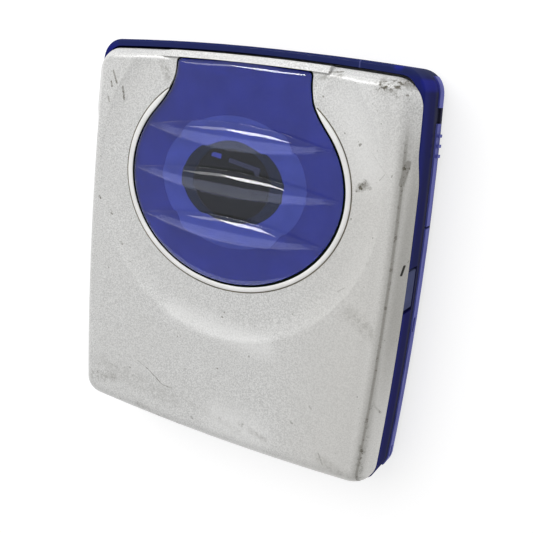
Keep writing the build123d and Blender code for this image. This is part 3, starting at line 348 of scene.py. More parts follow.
class Shader:
    """Small builder for a node material: each call adds a node and returns its output."""

    def __init__(self, name, **inputs):
        self.material = bpy.data.materials.new(name)
        self.material.use_nodes = True
        self.tree = self.material.node_tree
        self.surface = self.tree.nodes["Principled BSDF"]
        for key, value in inputs.items():
            self.surface.inputs[key.replace("_", " ")].default_value = value
        coordinates = self.tree.nodes.new("ShaderNodeTexCoord")
        self.place = coordinates.outputs["Object"]
        self.parts = None

    def link(self, source, socket):
        self.tree.links.new(source, socket)

    def set(self, key, source):
        """Drive one of the surface's inputs."""
        self.link(source, self.surface.inputs[key])

    def math(self, operation, a, b=0.0):
        """One sum on two values, each a number or an output."""
        node = self.tree.nodes.new("ShaderNodeMath")
        node.operation = operation
        for socket, value in zip(node.inputs, (a, b)):
            if isinstance(value, (int, float)):
                socket.default_value = value
            else:
                self.link(value, socket)
        return node.outputs[0]

    def times(self, *values):
        product = values[0]
        for value in values[1:]:
            product = self.math("MULTIPLY", product, value)
        return product

    def most(self, *values):
        highest = values[0]
        for value in values[1:]:
            highest = self.math("MAXIMUM", highest, value)
        return highest

    def stretched(self, scale):
        """Object coordinates stretched along each axis."""
        node = self.tree.nodes.new("ShaderNodeMapping")
        node.inputs["Scale"].default_value = scale
        self.link(self.place, node.inputs["Vector"])
        return node.outputs[0]

    def noise(self, scale, detail=2.0, rough=0.5, place=None):
        """Noise from 0 to 1; scale is in cycles per metre."""
        node = self.tree.nodes.new("ShaderNodeTexNoise")
        node.inputs["Scale"].default_value = scale
        node.inputs["Detail"].default_value = detail
        node.inputs["Roughness"].default_value = rough
        self.link(place or self.place, node.inputs["Vector"])
        return node.outputs["Fac"]

    def ramp(self, value, low, high, start=0.0, end=1.0):
        """Smooth step from start to end while the value goes from low to high."""
        node = self.tree.nodes.new("ShaderNodeMapRange")
        node.interpolation_type = "SMOOTHSTEP"
        self.link(value, node.inputs["Value"])
        limits = {"From Min": low, "From Max": high, "To Min": start, "To Max": end}
        for key, number in limits.items():
            node.inputs[key].default_value = number
        return node.outputs["Result"]

    def mix(self, factor, a, b):
        """Colour a at 0 and b at 1, each a colour or an output."""
        node = self.tree.nodes.new("ShaderNodeMix")
        node.data_type = "RGBA"
        self.link(factor, node.inputs["Factor"])
        for key, value in (("A", a), ("B", b)):
            socket = next(s for s in node.inputs if s.name == key and s.type == "RGBA")
            if isinstance(value, tuple):
                socket.default_value = (*value, 1)
            else:
                self.link(value, socket)
        return next(s for s in node.outputs if s.type == "RGBA")

    def bump(self, height, distance, strength=1.0):
        """Fine relief, too small for the mesh; distance in metres."""
        node = self.tree.nodes.new("ShaderNodeBump")
        node.inputs["Distance"].default_value = distance
        node.inputs["Strength"].default_value = strength
        self.link(height, node.inputs["Height"])
        self.set("Normal", node.outputs["Normal"])

    def axes(self):
        """X, Y and Z in millimetres."""
        if self.parts is None:
            node = self.tree.nodes.new("ShaderNodeSeparateXYZ")
            self.link(self.place, node.inputs[0])
            self.parts = [self.times(node.outputs[i], 1 / MM) for i in range(3)]
        return self.parts

    def stroke(self, start, end, width, soft=0.5):
        """1 within a straight stroke between two points seen from the front, millimetres."""
        x, y, _ = self.axes()
        run = (end[0] - start[0], end[1] - start[1])
        length = max(math.hypot(*run), 1e-6)
        along = (run[0] / length, run[1] / length)
        dx = self.math("SUBTRACT", x, start[0])
        dy = self.math("SUBTRACT", y, start[1])
        t = self.math("ADD", self.times(dx, along[0]), self.times(dy, along[1]))
        beyond = self.math("SUBTRACT", t, self.math("MINIMUM", self.most(t, 0.0), length))
        across = self.math("SUBTRACT", self.times(dx, along[1]), self.times(dy, along[0]))
        squares = self.math("ADD", self.times(beyond, beyond), self.times(across, across))
        distance = self.math("POWER", squares, 0.5)
        return self.ramp(distance, width / 2, width / 2 * (1 - soft) - 1e-4)


# Dirt and wear on the silver face, and two marks of painted shade by the neck, seen from the
# front, millimetres: start, end, width, strength.
# Strength 1 is full dirt; the darkest marks go beyond it.
SCUFFS_AND_SHADE = (  # broad, broken up
    ((30.6, 39.4), (36.6, 40.9), 3.6, 1.2),
    ((29.0, 20.2), (29.8, 21.0), 2.6, 1.3),
    ((28.3, 19.4), (31.0, 20.4), 1.0, 1.0),
    # these two are painted shade in the scoops either side of the neck
    ((-19.6, 39.8), (-18.0, 36.4), 3.0, 0.45),
    ((17.6, 39.6), (22.0, 40.6), 1.8, 0.5),
    ((30.4, 40.6), (34.0, 38.2), 2.2, 0.75),
    ((34.6, 41.2), (37.0, 39.6), 1.6, 0.9),
    ((37.35, 26.1), (36.9, 22.0), 1.4, 1.5),
    ((36.9, -26.5), (36.3, -40.5), 2.6, 0.7),
    ((36.7, -33.0), (36.3, -39.5), 1.0, 1.0),
    ((-32.0, -33.0), (-10.0, -36.0), 7.0, 0.22),
    ((8.0, -36.6), (14.5, -38.4), 2.0, 0.5),
    ((-34.5, -37.2), (-28.0, -35.8), 4.6, 0.45),
    ((-20.5, -40.6), (-9.0, -43.0), 2.6, 0.35),
    ((-1.0, -43.0), (6.0, -43.4), 1.6, 0.5),
    ((30.0, -5.0), (36.6, -9.0), 5.0, 0.3),
    ((-10.0, -34.5), (8.0, -38.5), 2.4, 0.15),
    ((28.0, -38.5), (35.0, -41.0), 4.0, 0.3),
)
PAINTED_LIGHT_AREAS = (  # painted light, brighter patches of paint: start, end, width
    ((2.0, -37.0), (12.0, -37.5), 13.0),
    ((25.0, 36.0), (30.0, 24.0), 16.0),
    ((-12.0, -14.5), (12.0, -17.5), 9.0),
)
SCRATCHES = (  # thin, dark
    ((34.1, 41.3), (35.6, 41.7), 0.75, 1.0),
    ((35.8, 40.3), (36.5, 39.8), 0.8, 0.9),
    ((38.93, 6.0), (38.72, 4.1), 0.28, 3.2),
    ((37.35, 26.1), (36.9, 22.0), 1.05, 1.38),
    ((27.4, -37.2), (28.6, -39.4), 0.3, 0.9),
    ((26.7, -42.2), (27.9, -42.5), 0.4, 0.8),
    ((37.4, -23.3), (36.9, -24.6), 0.4, 0.9),
    ((37.3, -22.5), (38.6, -25.4), 0.3, 0.6),
    ((-32.4, 36.4), (-31.2, 33.9), 0.5, 1.3),
    ((-29.7, 33.2), (-29.3, 30.5), 0.5, 1.2),
    ((-32.9, 34.0), (-32.6, 33.0), 0.5, 1.1),
    ((-33.6, 30.6), (-33.2, 29.6), 0.5, 1.0),
    ((-21.1, -29.5), (-18.0, -30.8), 0.16, 0.7),
    ((-18.0, -30.8), (-13.6, -33.5), 0.2, 1.0),
    ((-13.6, -33.5), (-11.0, -33.6), 0.2, 1.0),
    ((27.0, -1.3), (28.4, -0.2), 0.22, 0.7),
    ((32.7, 22.2), (33.6, 23.4), 0.2, 0.5),
    ((30.2, 27.3), (36.8, 20.6), 0.12, 0.25),
    ((19.6, 41.0), (22.0, 41.3), 0.4, 0.9),
    ((-34.9, 7.7), (-34.5, 7.3), 0.5, 0.8),
    ((-31.7, 5.0), (-31.2, 4.7), 0.4, 0.4),
    ((-28.1, -2.0), (-27.7, -2.4), 0.6, 0.6),
    ((-4.9, -39.0), (-4.6, -39.3), 0.5, 0.8),
    ((-9.2, -42.1), (-8.9, -42.5), 0.6, 0.8),
    ((24.1, -27.3), (24.5, -27.7), 0.45, 0.7),
    ((20.2, -32.1), (20.6, -32.4), 0.4, 0.8),
    ((2.5, -36.8), (2.9, -37.2), 0.4, 0.5),
)
SOLID_MARK = 1.4  # scratches at least this strong aren't broken up
CREASE_LINE_INSET = 2.2  # where the dark line runs, from the cover's side
SPECKLE = 3400  # cycles per metre
PAINT_DARK = (0.53, 0.53, 0.522)
PAINT_LIGHT = (0.80, 0.80, 0.79)
PAINT_WARM = (0.615, 0.60, 0.565)
PAINT_DULL = (0.62, 0.617, 0.60)
PAINT_LIT = (0.88, 0.88, 0.87)
FLECK = (0.25, 0.24, 0.21)
DOT = (0.16, 0.15, 0.12)
GRIME_AND_SHADE = (0.13, 0.12, 0.095)
DEEP_GRIME = (0.022, 0.020, 0.016)


def silver_paint(name, metallic):
    """Satin silver paint: fine speckle, patches of painted light, grime with painted shade along
    the crease and on the skirt, scuffs, painted shade by the neck and scratches.
    """
    shader = Shader(name, Metallic=metallic)
    x, y, _ = shader.axes()

    # The paint: speckled, warmer to the right, duller in clouds, lighter in patches of painted
    # light, flecked
    fine = shader.ramp(shader.noise(SPECKLE, 2.0, 0.6), 0.3, 0.7)
    cloud = shader.ramp(shader.noise(70, 3.0), 0.3, 0.7)
    fleck = shader.ramp(shader.noise(1500, 2.0, 0.7), 0.66, 0.78)
    base = shader.mix(fine, PAINT_DARK, PAINT_LIGHT)
    warm = shader.times(shader.ramp(x, 8.0, 34.0), shader.ramp(y, 40.0, 20.0), 0.55)
    base = shader.mix(warm, base, PAINT_WARM)
    base = shader.mix(shader.times(cloud, 0.25), base, PAINT_DULL)
    # Painted light: brighter patches where the face looks lit, one of them on the dish's lower
    # slope
    for start, end, width in PAINTED_LIGHT_AREAS:
        painted_lit = shader.times(shader.stroke(start, end, width, 1.0), 0.42)
        base = shader.mix(painted_lit, base, PAINT_LIT)
    base = shader.mix(shader.times(fleck, 0.5), base, FLECK)
    dots = shader.ramp(shader.noise(620, 2.0, 0.5), 0.735, 0.76)
    base = shader.mix(shader.times(dots, 0.7), base, DOT)

    # Grime in lines along the right crease, which follows the cover's side, over a soft band of
    # painted shade; grime with painted shade on the skirt
    breakup = shader.ramp(shader.noise(900, 4.0, 0.75), 0.46, 0.62)
    blotch = shader.ramp(shader.noise(380, 3.0, 0.6), 0.38, 0.62)
    side_bow = HALF_WIDTH - (CORNER_X_TOP + CORNER_X_HINGE) / 2
    bowed = shader.math("ADD", x, shader.times(y, y, side_bow / CORNER_Y**2))
    crease_x = HALF_WIDTH - CREASE_LINE_INSET
    from_crease = shader.math("ABSOLUTE", shader.math("SUBTRACT", bowed, crease_x))
    lower = shader.ramp(y, 36.0, 26.0)
    # Soft band darkening the crease: partly grime, partly painted shade
    crease_shade_and_grime = shader.times(shader.ramp(from_crease, 1.8, 0.0), lower, 0.30)
    thin = shader.times(shader.ramp(from_crease, 0.5, 0.1), lower)
    hard_line = shader.times(thin, shader.most(breakup, 0.7), 0.85)
    broken_line = shader.times(thin, blotch, 0.5)
    ends = shader.times(shader.ramp(y, 37.0, 18.0), shader.ramp(y, -34.0, -4.0))
    # The skirt is darkened: partly grime, partly painted shade
    skirt_grime_and_shade = shader.times(shader.ramp(x, 37.0, 38.6), ends, 0.42)
    grime_and_shade = shader.most(crease_shade_and_grime, hard_line, broken_line, skirt_grime_and_shade)

    # Scuffs and scratches
    smear = shader.most(breakup, shader.times(blotch, 0.55))
    for start, end, width, strength in SCUFFS_AND_SHADE:
        mark = shader.stroke(start, end, width, 0.9)
        grime_and_shade = shader.most(grime_and_shade, shader.times(mark, smear, strength))
    for start, end, width, strength in SCRATCHES:
        worn = 1.0 if strength >= SOLID_MARK else shader.most(breakup, 0.45)
        mark = shader.stroke(start, end, width * 1.25)
        grime_and_shade = shader.most(grime_and_shade, shader.times(mark, worn, strength))

    # Darken by the grime, which also carries the painted shade of the crease, the skirt and the
    # scoops by the neck
    base = shader.mix(grime_and_shade, base, GRIME_AND_SHADE)
    base = shader.mix(shader.ramp(grime_and_shade, 1.2, 2.2), base, DEEP_GRIME)
    shader.set("Base Color", base)
    shader.set("Roughness", shader.ramp(grime_and_shade, 0.0, 1.0, 0.42, 0.75))
    shader.bump(shader.noise(SPECKLE, 2.0), 0.00002, 0.4)
    return shader.material


def plain(name, colour, metallic, roughness, grain=2500, depth=0.00001, spread=0.12, **more):
    """Moulded, plated or painted surface: slight colour variation and a fine grain."""
    shader = Shader(name, Metallic=metallic, Roughness=roughness, **more)
    variation = shader.ramp(shader.noise(180, 3.0), 0.3, 0.7)
    dark = tuple(c * (1 - spread) for c in colour)
    light = tuple(min(c * (1 + spread), 1) for c in colour)
    shader.set("Base Color", shader.mix(variation, dark, light))
    shader.bump(shader.noise(grain, 2.0), depth, 0.6)
    return shader.material


def case_with_painted_light():
    """Deep blue plastic banded by height: a painted highlight of brighter blue near the top of the
    wall, navy below it, greyer slate lower down and greyer blue along the opening edge.
    """
    shader = Shader("case_plastic", Roughness=0.32, Specular_IOR_Level=0.0, Coat_Weight=0.04)
    _, y, z = shader.axes()
    # Bands by height; the brighter blue towards the top is a painted highlight
    low = shader.ramp(z, 5.9, 8.2)
    high = shader.ramp(z, 9.5, 13.4)
    colour = shader.mix(low, (0.038, 0.038, 0.066), (0.011, 0.011, 0.090))
    colour = shader.mix(high, colour, (0.014, 0.017, 0.165))
    smoke = shader.ramp(shader.noise(90, 3.0), 0.35, 0.7)
    colour = shader.mix(shader.times(smoke, 0.35), colour, (0.016, 0.022, 0.06))
    front = shader.times(shader.ramp(y, 41.2, 42.6), 0.75)
    colour = shader.mix(front, colour, (0.020, 0.027, 0.085))
    # Painted light: a glow as if light shone through the plastic at three corners of the band
    painted_glow = shader.most(
        shader.stroke((32.1, 43.3), (32.6, 43.3), 2.2, 0.8),
        shader.stroke((37.6, 41.2), (38.3, 39.9), 2.0, 0.8),
        shader.times(shader.stroke((-36.3, 41.3), (-34.5, 42.4), 2.2, 0.9), 0.35),
    )
    colour = shader.mix(shader.times(painted_glow, 0.4), colour, (0.020, 0.024, 0.36))
    joint = shader.stroke((24.4, 45.0), (24.6, 42.0), 0.3, 0.5)
    colour = shader.mix(shader.times(joint, 0.8), colour, (0.09, 0.10, 0.26))
    shader.set("Base Color", colour)
    shader.bump(shader.noise(1200, 2.0), 0.000008, 0.5)
    return shader.material


def strip_plastic():
    """Lighter blue plastic of the side strips, streaked along their length."""
    shader = Shader("strip_plastic", Roughness=0.35, Specular_IOR_Level=0.03)
    streaks = shader.noise(260, 3.0, 0.6, shader.stretched((2.0, 0.35, 2.0)))
    mottled = shader.ramp(streaks, 0.32, 0.68)
    colour = shader.mix(mottled, (0.048, 0.052, 0.28), (0.11, 0.12, 0.43))
    shader.set("Base Color", colour)
    shader.bump(streaks, 0.00003, 0.5)
    return shader.material


def flat_print(name, colour, spread=0.05):
    """Matt ink, which mirrors nothing."""
    return plain(name, colour, 0.0, 0.5, spread=spread, Specular_IOR_Level=0.0)


silver = silver_paint("silver_paint", 0.2)
lip_silver = silver_paint("lip_paint", 0.0)
case_plastic = case_with_painted_light()
strip_finish = strip_plastic()
tab_blue = plain("grey_blue_plastic", (0.075, 0.085, 0.17), 0.0, 0.4, Specular_IOR_Level=0.0)
glass = plain(
    "blue_window",
    (0.66, 0.71, 0.97),
    0.0,
    0.0,
    grain=900,
    depth=0.000002,
    spread=0.02,
    IOR=1.42,
    Transmission_Weight=1.0,
    Coat_Weight=0.3,
    Coat_IOR=1.5,
    Coat_Roughness=0.03,
)
bezel_finish = plain("bright_ring", (0.88, 0.875, 0.86), 0.15, 0.3, spread=0.05)
backing_print = flat_print("dark_print", (0.050, 0.066, 0.35), spread=0.06)
pale_print = flat_print("pale_print", (0.118, 0.154, 0.51))
slate_print = flat_print("slate_print", (0.018, 0.030, 0.050))
shade_black = plain("shade_black", (0.005, 0.007, 0.005), 0.0, 0.6, Specular_IOR_Level=0.0)
well_slate = plain("well_slate", (0.050, 0.052, 0.080), 0.0, 0.5)
well_blue = plain("well_blue", (0.12, 0.15, 0.60), 0.0, 0.5)
groove_dirt = plain("groove_dirt", (0.10, 0.085, 0.055), 0.0, 0.7, spread=0.4)
plated = {"spread": 0.04, "Specular_IOR_Level": 0.15}
steel = plain("plated_steel", (0.34, 0.34, 0.35), 0.2, 0.5, **plated)
bright_steel = plain("ground_steel", (0.66, 0.66, 0.67), 1.0, 0.22)
black = plain("black_plastic", (0.022, 0.022, 0.025), 0.0, 0.45)
rubber = plain("rubber", (0.03, 0.03, 0.03), 0.0, 0.8)
board_finish = plain("green_board", (0.02, 0.13, 0.07), 0.0, 0.4)
cell_finish = plain("cell_wrap", (0.30, 0.32, 0.36), 0.2, 0.35)
lens_finish = plain("coated_lens", (0.10, 0.16, 0.45), 0.3, 0.05)

FINISHES = (
    (silver, "front_cover"),
    (case_plastic, "lower_case body_band battery_door"),
    (strip_finish, "lower_side_strip upper_side_strip open_slider"),
    (strip_finish, "stop_button play_button volume_down_button volume_up_button"),
    (tab_blue, "side_catch"),
    (glass, "window_glass"),
    (bezel_finish, "window_bezel"),
    (backing_print, "window_backing"),
    (pale_print, "outer_print_ring"),
    (slate_print, "inner_print_ring"),
    (steel, "deck_plate hinge_ear_left hinge_ear_right disc_holder"),
    (steel, "mech_chassis spindle_motor sled_motor latch_slide"),
    (bright_steel, "hinge_pin_left hinge_pin_right lid_spring_left lid_spring_right"),
    (bright_steel, "holder_springs holder_rivets spindle_shaft clamp_magnet"),
    (bright_steel, "guide_rod_back guide_rod_front lead_screw cell_contact"),
    (bright_steel, "door_pin door_contact slider_spring case_screws"),
    (black, "lid_frame turntable pickup_sled lens_turret screw_bearing"),
    (black, "signal_chip servo_chip memory_chip power_chip"),
    (black, "headphone_jack power_jack tact_switches"),
    (rubber, "dampers"),
    (board_finish, "main_board switch_board"),
    (cell_finish, "battery_cell"),
    (lens_finish, "pickup_lens"),
)
for finish, names in FINISHES:
    for node_name in names.split():
        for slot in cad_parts[node_name].material_slots:
            slot.material = finish

# --- silver cover -------------------------------------------------------------------------------

angles = np.linspace(0, 2 * math.pi, AROUND, endpoint=False)
hole = reach(lambda x, y: window_gap(x, y, WINDOW_GAP), angles)


def cover_reach(inset):
    """Reach of the cover's outline at an inset, kept a hair outside the window's opening."""
    found = reach(lambda x, y: cover_gap(x, y, inset), angles)
    return np.maximum(found, hole + 0.02 * (6 - np.minimum(inset, 5.9)))


foot = skirt_foot(WINDOW_Y + cover_reach(0.0) * np.sin(angles))
crease_z = SKIRT_FOOT + CREASE_START / SKIRT_LEAN
turn_z = crease_z + TURN_LIFT


def skirt_ring(share, wall=0.0):
    """Ring of the lower skirt, from its foot, flush with the case, to the turn at share 1."""
    inset = CREASE_START * share**SKIRT_CURVE + wall
    return ring(cover_reach(inset), angles, foot + (turn_z - foot) * share)


rings = [skirt_ring(share) for share in np.linspace(0, 1, SKIRT_STEPS)]
turn_inset = (COVER_TOP - SKIRT_FOOT) * SKIRT_LEAN
for t in np.linspace(0, 1, TURN_STEPS)[1:]:  # soft turn from the skirt into the face
    start, middle, end = (1 - t) ** 2, 2 * t * (1 - t), t * t
    inset = start * CREASE_START + middle * turn_inset + end * CREASE_END
    height = start * turn_z + middle * COVER_TOP + end * COVER_TOP
    turned = ring_on(cover_reach(inset), angles, cover_height)
    share = (height - crease_z) / (COVER_TOP - crease_z)
    turned[:, 2] = height - (COVER_TOP - turned[:, 2]) * share
    rings.append(turned)
outer = cover_reach(CREASE_END)
for t in np.linspace(0, 1, FACE_STEPS)[1:]:  # the face, as far as the window's opening
    rings.append(ring_on(outer + (hole - outer) * t, angles, cover_height))
under = rings[-1].copy()
under[:, 2] -= COVER_WALL
rings.append(under)
inner = cover_reach(INNER_INSET)
for t in (0.35, 0.7, 1.0):
    inside = ring_on(hole + (inner - hole) * t, angles, cover_height)
    inside[:, 2] -= COVER_WALL
    rings.append(inside)
rings.append(skirt_ring(0.8, COVER_WALL))
rings.append(skirt_ring(0.0, COVER_WALL))
cover = ring_piece("cover_shell", rings, silver, "lid", wrap=True)
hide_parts("front_cover")

# The lip stands out of the cover's opening edge, in front of the window's neck


def lip_section(x):
    """Rounded bar section at x, millimetres."""
    sag = END_SAG * (x / CORNER_X_TOP) ** 2
    sink = LIP_SINK * (1 - ease((x - LIP_LEFT) / LIP_FADE))
    back = LIP_BACK_Y - sag
    front = LIP_FRONT_Y - sag - sink
    top = LIP_TOP - sink
    points = [(back, LIP_BOTTOM), (front, LIP_BOTTOM)]
    for turn in np.linspace(0, math.pi / 2, 6):
        y = front - LIP_EDGE + LIP_EDGE * math.cos(turn)
        points.append((y, top - LIP_EDGE + LIP_EDGE * math.sin(turn)))
    points.append((back, top + LIP_BACK_RISE))
    return np.array([(x, y, z) for y, z in points])


lip_sections = [lip_section(x) for x in np.linspace(LIP_LEFT, LIP_RIGHT, LIP_STEPS)]
lip = bar_piece("cover_lip", lip_sections, lip_silver, "lid")

# --- bright ring round the window ---------------------------------------------------------------

# Its outer edge follows the oval, so it runs out where the neck's flare crosses it


def joint_and_shadow_width(angle):
    """Width of the black joint round the window, swollen by painted shadow towards the lower
    right.
    """
    return JOINT_NARROWEST + SHADOW_SWELL * (0.5 + 0.5 * np.cos(angle + SHADOW_TURN))


ring_angles = np.linspace(*(math.radians(angle) for angle in BEZEL_ANGLES), BEZEL_STEPS)
inner_edge = reach(lambda x, y: window_gap(x, y, joint_and_shadow_width(ring_angles)), ring_angles)
outer_edge = reach(lambda x, y: oval_gap(x, y, WINDOW_GAP + 0.05 + BEZEL_WIDTH), ring_angles)
ring_width = outer_edge - inner_edge
wide = ring_width > BEZEL_THINNEST
ring_angles, inner_edge, ring_width = ring_angles[wide], inner_edge[wide], ring_width[wide]


def bezel_profile(i):
    """Distance from the window's middle and rise over the cover, across the ring's step i."""
    fade = min(ring_width[i] / BEZEL_FULL, 1)
    shares = (0, 0.03, 0.15, 0.5, 0.85, 0.97, 1)
    rises = (-0.25, 0.6, 0.9, 1.0, 0.75, 0.3, -0.25)
    for share, rise in zip(shares, rises):
        yield inner_edge[i] + ring_width[i] * share, BEZEL_RISE * rise * fade


def joint_profile(i):
    """The same for the thin dark joint outside the ring."""
    start = inner_edge[i] + ring_width[i]
    for across, rise in ((0, -0.3), (0, 0.05), (BEZEL_GROOVE, 0.04), (BEZEL_GROOVE, -0.3)):
        yield start + across, rise


def ring_bar(name, profile, material):
    """Bar that runs along the bright ring with a profile on the cover."""
    sections = []
    for i, angle in enumerate(ring_angles):
        section = []
        for distance, rise in profile(i):
            x = distance * math.cos(angle)
            y = WINDOW_Y + distance * math.sin(angle)
            section.append((x, y, cover_height(x, y) + rise))
        sections.append(np.array(section))
    return bar_piece(name, sections, material, "lid")


bezel = ring_bar("bezel_ring", bezel_profile, bezel_finish)
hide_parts("window_bezel")

# Black joint between the window and the ring, widened as painted shadow
joint_and_shadow_out = joint_and_shadow_width(angles)
joint_and_shadow_rings = []
for across, rise in (
    (-0.2, -0.9),
    (-0.16, -0.06),
    (0.0, 0.03),
    (joint_and_shadow_out, 0.04),
    (joint_and_shadow_out, -0.1),
    (joint_and_shadow_out * 0.6, -0.12),
    (joint_and_shadow_out * 0.6, -0.9),
):
    edge = ring_on(reach(lambda x, y: window_gap(x, y, across), angles), angles, cover_height)
    edge[:, 2] += rise
    joint_and_shadow_rings.append(edge)
joint_and_shadow = ring_piece("window_joint_and_shadow", joint_and_shadow_rings[::-1], shade_black, "lid", wrap=True)

groove = ring_bar("bezel_joint", joint_profile, groove_dirt)

# --- window -------------------------------------------------------------------------------------

pane = reach(window_gap, angles)


def pane_inset(inset):
    """Reach of the pane's outline moved inward by a true offset."""
    return reach(lambda x, y: window_gap(x, y, -inset), angles)


glass_rings = []
glass_normals = []
flat_reach = pane_inset(RIM_RADIUS)
for t in np.linspace(0.01, 1, PANE_STEPS):
    glass_rings.append(ring_on(flat_reach * t, angles, glass_height))
    x, y = glass_rings[-1][:, 0], glass_rings[-1][:, 1]
    glass_normals.append(field_normal(glass_height, x, y))
for turn in np.linspace(0, math.pi / 2, RIM_STEPS)[1:]:
    rim = ring_on(pane_inset(RIM_RADIUS * (1 - math.sin(turn))), angles, glass_height)
    rim[:, 2] -= RIM_DROP * (1 - math.cos(turn))
    glass_rings.append(rim)
glass_rings.append(ring(pane, angles, GLASS_UNDERSIDE))
glass_rings.append(ring(pane_inset(GLASS_CHAMFER), angles, GLASS_UNDERSIDE))
glass_rings.append(ring(pane * 0.5, angles, GLASS_UNDERSIDE))
glass_rings.append(ring(pane * 0.01, angles, GLASS_UNDERSIDE))
window = ring_piece("window_pane", glass_rings[::-1], glass, "lid", cap=True)
# The top takes its normals from the height field; a zero normal leaves the mesh's own
normals = np.zeros((len(window.data.vertices), 3))
first_top = (len(glass_rings) - len(glass_normals)) * AROUND
end_top = first_top + len(glass_normals) * AROUND
normals[first_top + AROUND : end_top] = np.concatenate(glass_normals[::-1][1:])
window.data.normals_split_custom_set_from_vertices([tuple(n) for n in normals])
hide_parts("window_glass")

# Blue edge of the prints under the pane's rim
lining_in, lining_out = pane_inset(LINING_WIDTH), pane - LINING_GAP
lining_foot, lining_top = (GLASS_UNDERSIDE - depth for depth in LINING_DEPTHS)
lining_rings = [
    ring(lining_in, angles, lining_foot),
    ring(lining_out, angles, lining_foot),
    ring(lining_out, angles, lining_top),
    ring(lining_in, angles, lining_top),
]
lining = ring_piece("window_lining", lining_rings, backing_print, "lid", wrap=True)

# Printed rings
print_angles = np.linspace(0, 2 * math.pi, AROUND_PRINTS, endpoint=False)


def oval_reach(half_sizes):
    """Reach of an oval round the window's middle."""
    half_x, half_y = half_sizes
    return half_x * half_y / np.hypot(half_y * np.cos(print_angles), half_x * np.sin(print_angles))


def printed_ring(name, inner, outer, lift, material, slot, *nodes):
    """Thin printed ring between two ovals, its edges just rounded."""
    near, far = oval_reach(inner), oval_reach(outer)
    foot, top = PRINT_TOP - PRINT_THICK, PRINT_TOP + lift
    across, down = PRINT_ROUNDING
    edge = top - down
    outside = [(far, foot), (far, edge), (far - across, top)]
    inside = [(near + across, top), (near, edge), (near, foot)]
    rings = [ring(distance, print_angles, z) for distance, z in outside + inside]
    piece = ring_piece(name, rings, material, "lid", wrap=True)
    if nodes:
        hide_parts(*nodes)


printed_ring(
    "pale_ring", SLATE_RING, PALE_RING, 0.02, pale_print, "pale_print", "outer_print_ring"
)
printed_ring("ring_surround", PALE_RING, PRINT_SURROUND, 0.01, backing_print, "dark_print")
printed_ring(
    "slate_ring", PRINT_HOLE, SLATE_RING, 0.03, slate_print, "slate_print", "inner_print_ring"
)

# Black sheet as painted shade for the space behind the hole in the prints, with what shows of the
# clamp through it
well_reach = oval_reach(PRINT_HOLE)
well_rings = [
    ring(well_reach * 0.03, print_angles, WELL_FLOOR),
    ring(well_reach * 0.9, print_angles, WELL_FLOOR),
    ring(well_reach + 0.25, print_angles, WELL_FLOOR + 0.45),
    ring(well_reach + 0.25, print_angles, WELL_FLOOR + 0.3),
    ring(well_reach * 0.93, print_angles, WELL_FLOOR - WELL_THICK),
    ring(well_reach * 0.03, print_angles, WELL_FLOOR - WELL_THICK),
]
well = ring_piece("viewing_well", well_rings[::-1], shade_black, "lid", cap=True)


def clamp_plate(name, corners, material):
    """Flat plate with slightly drawn-in upper edges from an outline given counter-clockwise."""
    outline = np.array(corners, dtype=float)
    middle = outline.mean(axis=0)
    count = len(outline)
    inset = middle + (outline - middle) * 0.96
    layers = (
        (outline, CLAMP_TOP - CLAMP_THICK),
        (outline, CLAMP_TOP - CLAMP_THICK * 0.3),
        (inset, CLAMP_TOP),
    )
    points = np.concatenate([np.column_stack([flat, np.full(count, z)]) for flat, z in layers])
    faces = [tuple(range(count - 1, -1, -1)), tuple(range(2 * count, 3 * count))]
    for layer in (0, count):
        for i in range(count):
            j = (i + 1) % count
            faces.append((layer + i, layer + j, layer + count + j, layer + count + i))
    piece = make_object(name, points, faces, material, "lid", smooth=False)


arm = [(-1.6, 20.5), (4.7, 19.5), (5.7, 17.6), (6.2, 20.2), (-1.4, 21.4)]
clamp_plate("clamp_arm", arm, well_slate)
mark = [(-5.9, 21.2), (-3.5, 20.9), (-3.4, 21.9), (-5.8, 22.2)]
clamp_plate("clamp_mark", mark, well_blue)

# --- stage, light and camera --------------------------------------------------------------------

FLOOR_HALF = 3.0  # metres
FLOOR_GREY = 0.42
FLOOR_GLOW = 0.68  # lifts the floor to white, so it shows only the player's shadow
WORLD_STRENGTH = 0.53
WHITE = (1, 1, 1, 1)

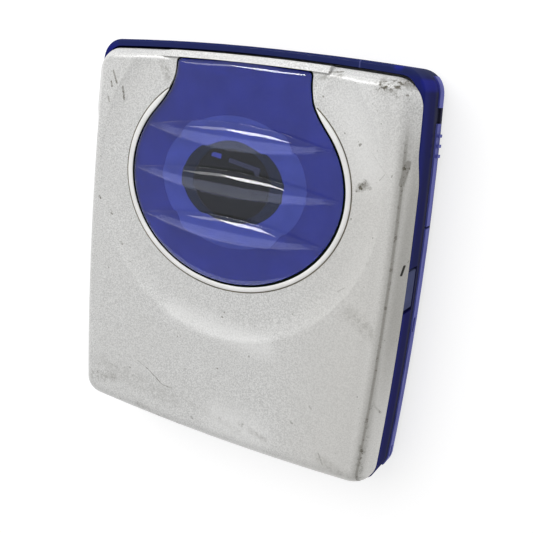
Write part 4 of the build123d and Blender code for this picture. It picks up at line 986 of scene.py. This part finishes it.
floor_mesh = bpy.data.meshes.new("floor")
floor_corners = [(-1, -1), (1, -1), (1, 1), (-1, 1)]
floor_points = [(x * FLOOR_HALF, y * FLOOR_HALF, 0) for x, y in floor_corners]
floor_mesh.from_pydata(floor_points, [], [(0, 1, 2, 3)])
floor = bpy.data.objects.new("floor", floor_mesh)
bpy.context.collection.objects.link(floor)
paper = Shader(
    "floor_paper",
    Base_Color=(FLOOR_GREY, FLOOR_GREY, FLOOR_GREY, 1),
    Roughness=0.9,
    Emission_Color=WHITE,
    Emission_Strength=FLOOR_GLOW,
)
paper.bump(paper.noise(2500, 2.0), 0.00001, 0.6)
floor_mesh.materials.append(paper.material)

world = bpy.data.worlds.new("studio")
world.use_nodes = True
background = world.node_tree.nodes["Background"]
background.inputs["Color"].default_value = WHITE
background.inputs["Strength"].default_value = WORLD_STRENGTH
bpy.context.scene.world = world
bpy.context.scene.view_settings.view_transform = "Standard"


def soft_light(name, place, aim, size, power):
    """Rectangular area light that points at a spot."""
    lamp = bpy.data.lights.new(name, "AREA")
    lamp.shape = "RECTANGLE"
    lamp.size, lamp.size_y = size
    lamp.energy = power
    light = bpy.data.objects.new(name, lamp)
    light.location = place
    light.rotation_euler = (Vector(aim) - Vector(place)).to_track_quat("-Z", "Y").to_euler()
    bpy.context.collection.objects.link(light)
    return light


key = soft_light("key", (-0.32, 0.56, 0.63), aim=(0, 0, 0), size=(1.1, 1.1), power=7.0)
key.visible_glossy = False
ribs = (0.0, 0.02, 0.02)  # these two only draw the highlights along the ribs
highlight = soft_light("strip", (-0.19, 0.33, 0.35), ribs, size=(0.13, 0.12), power=0.85)
side_highlight = soft_light("side_strip", (-0.32, 0.33, 0.35), ribs, (0.13, 0.11), power=0.17)
for reflected in (highlight, side_highlight):
    reflected.visible_diffuse = False
    reflected.visible_transmission = False

camera_data = bpy.data.cameras.new("camera")
camera_data.sensor_width = 36
camera_data.lens = CAMERA_LENS
camera_data.clip_start = 0.01
camera = bpy.data.objects.new("camera", camera_data)
camera.location = CAMERA_PLACE
camera.rotation_euler = [math.radians(turn) for turn in CAMERA_TURN]
bpy.context.collection.objects.link(camera)
bpy.context.scene.camera = camera
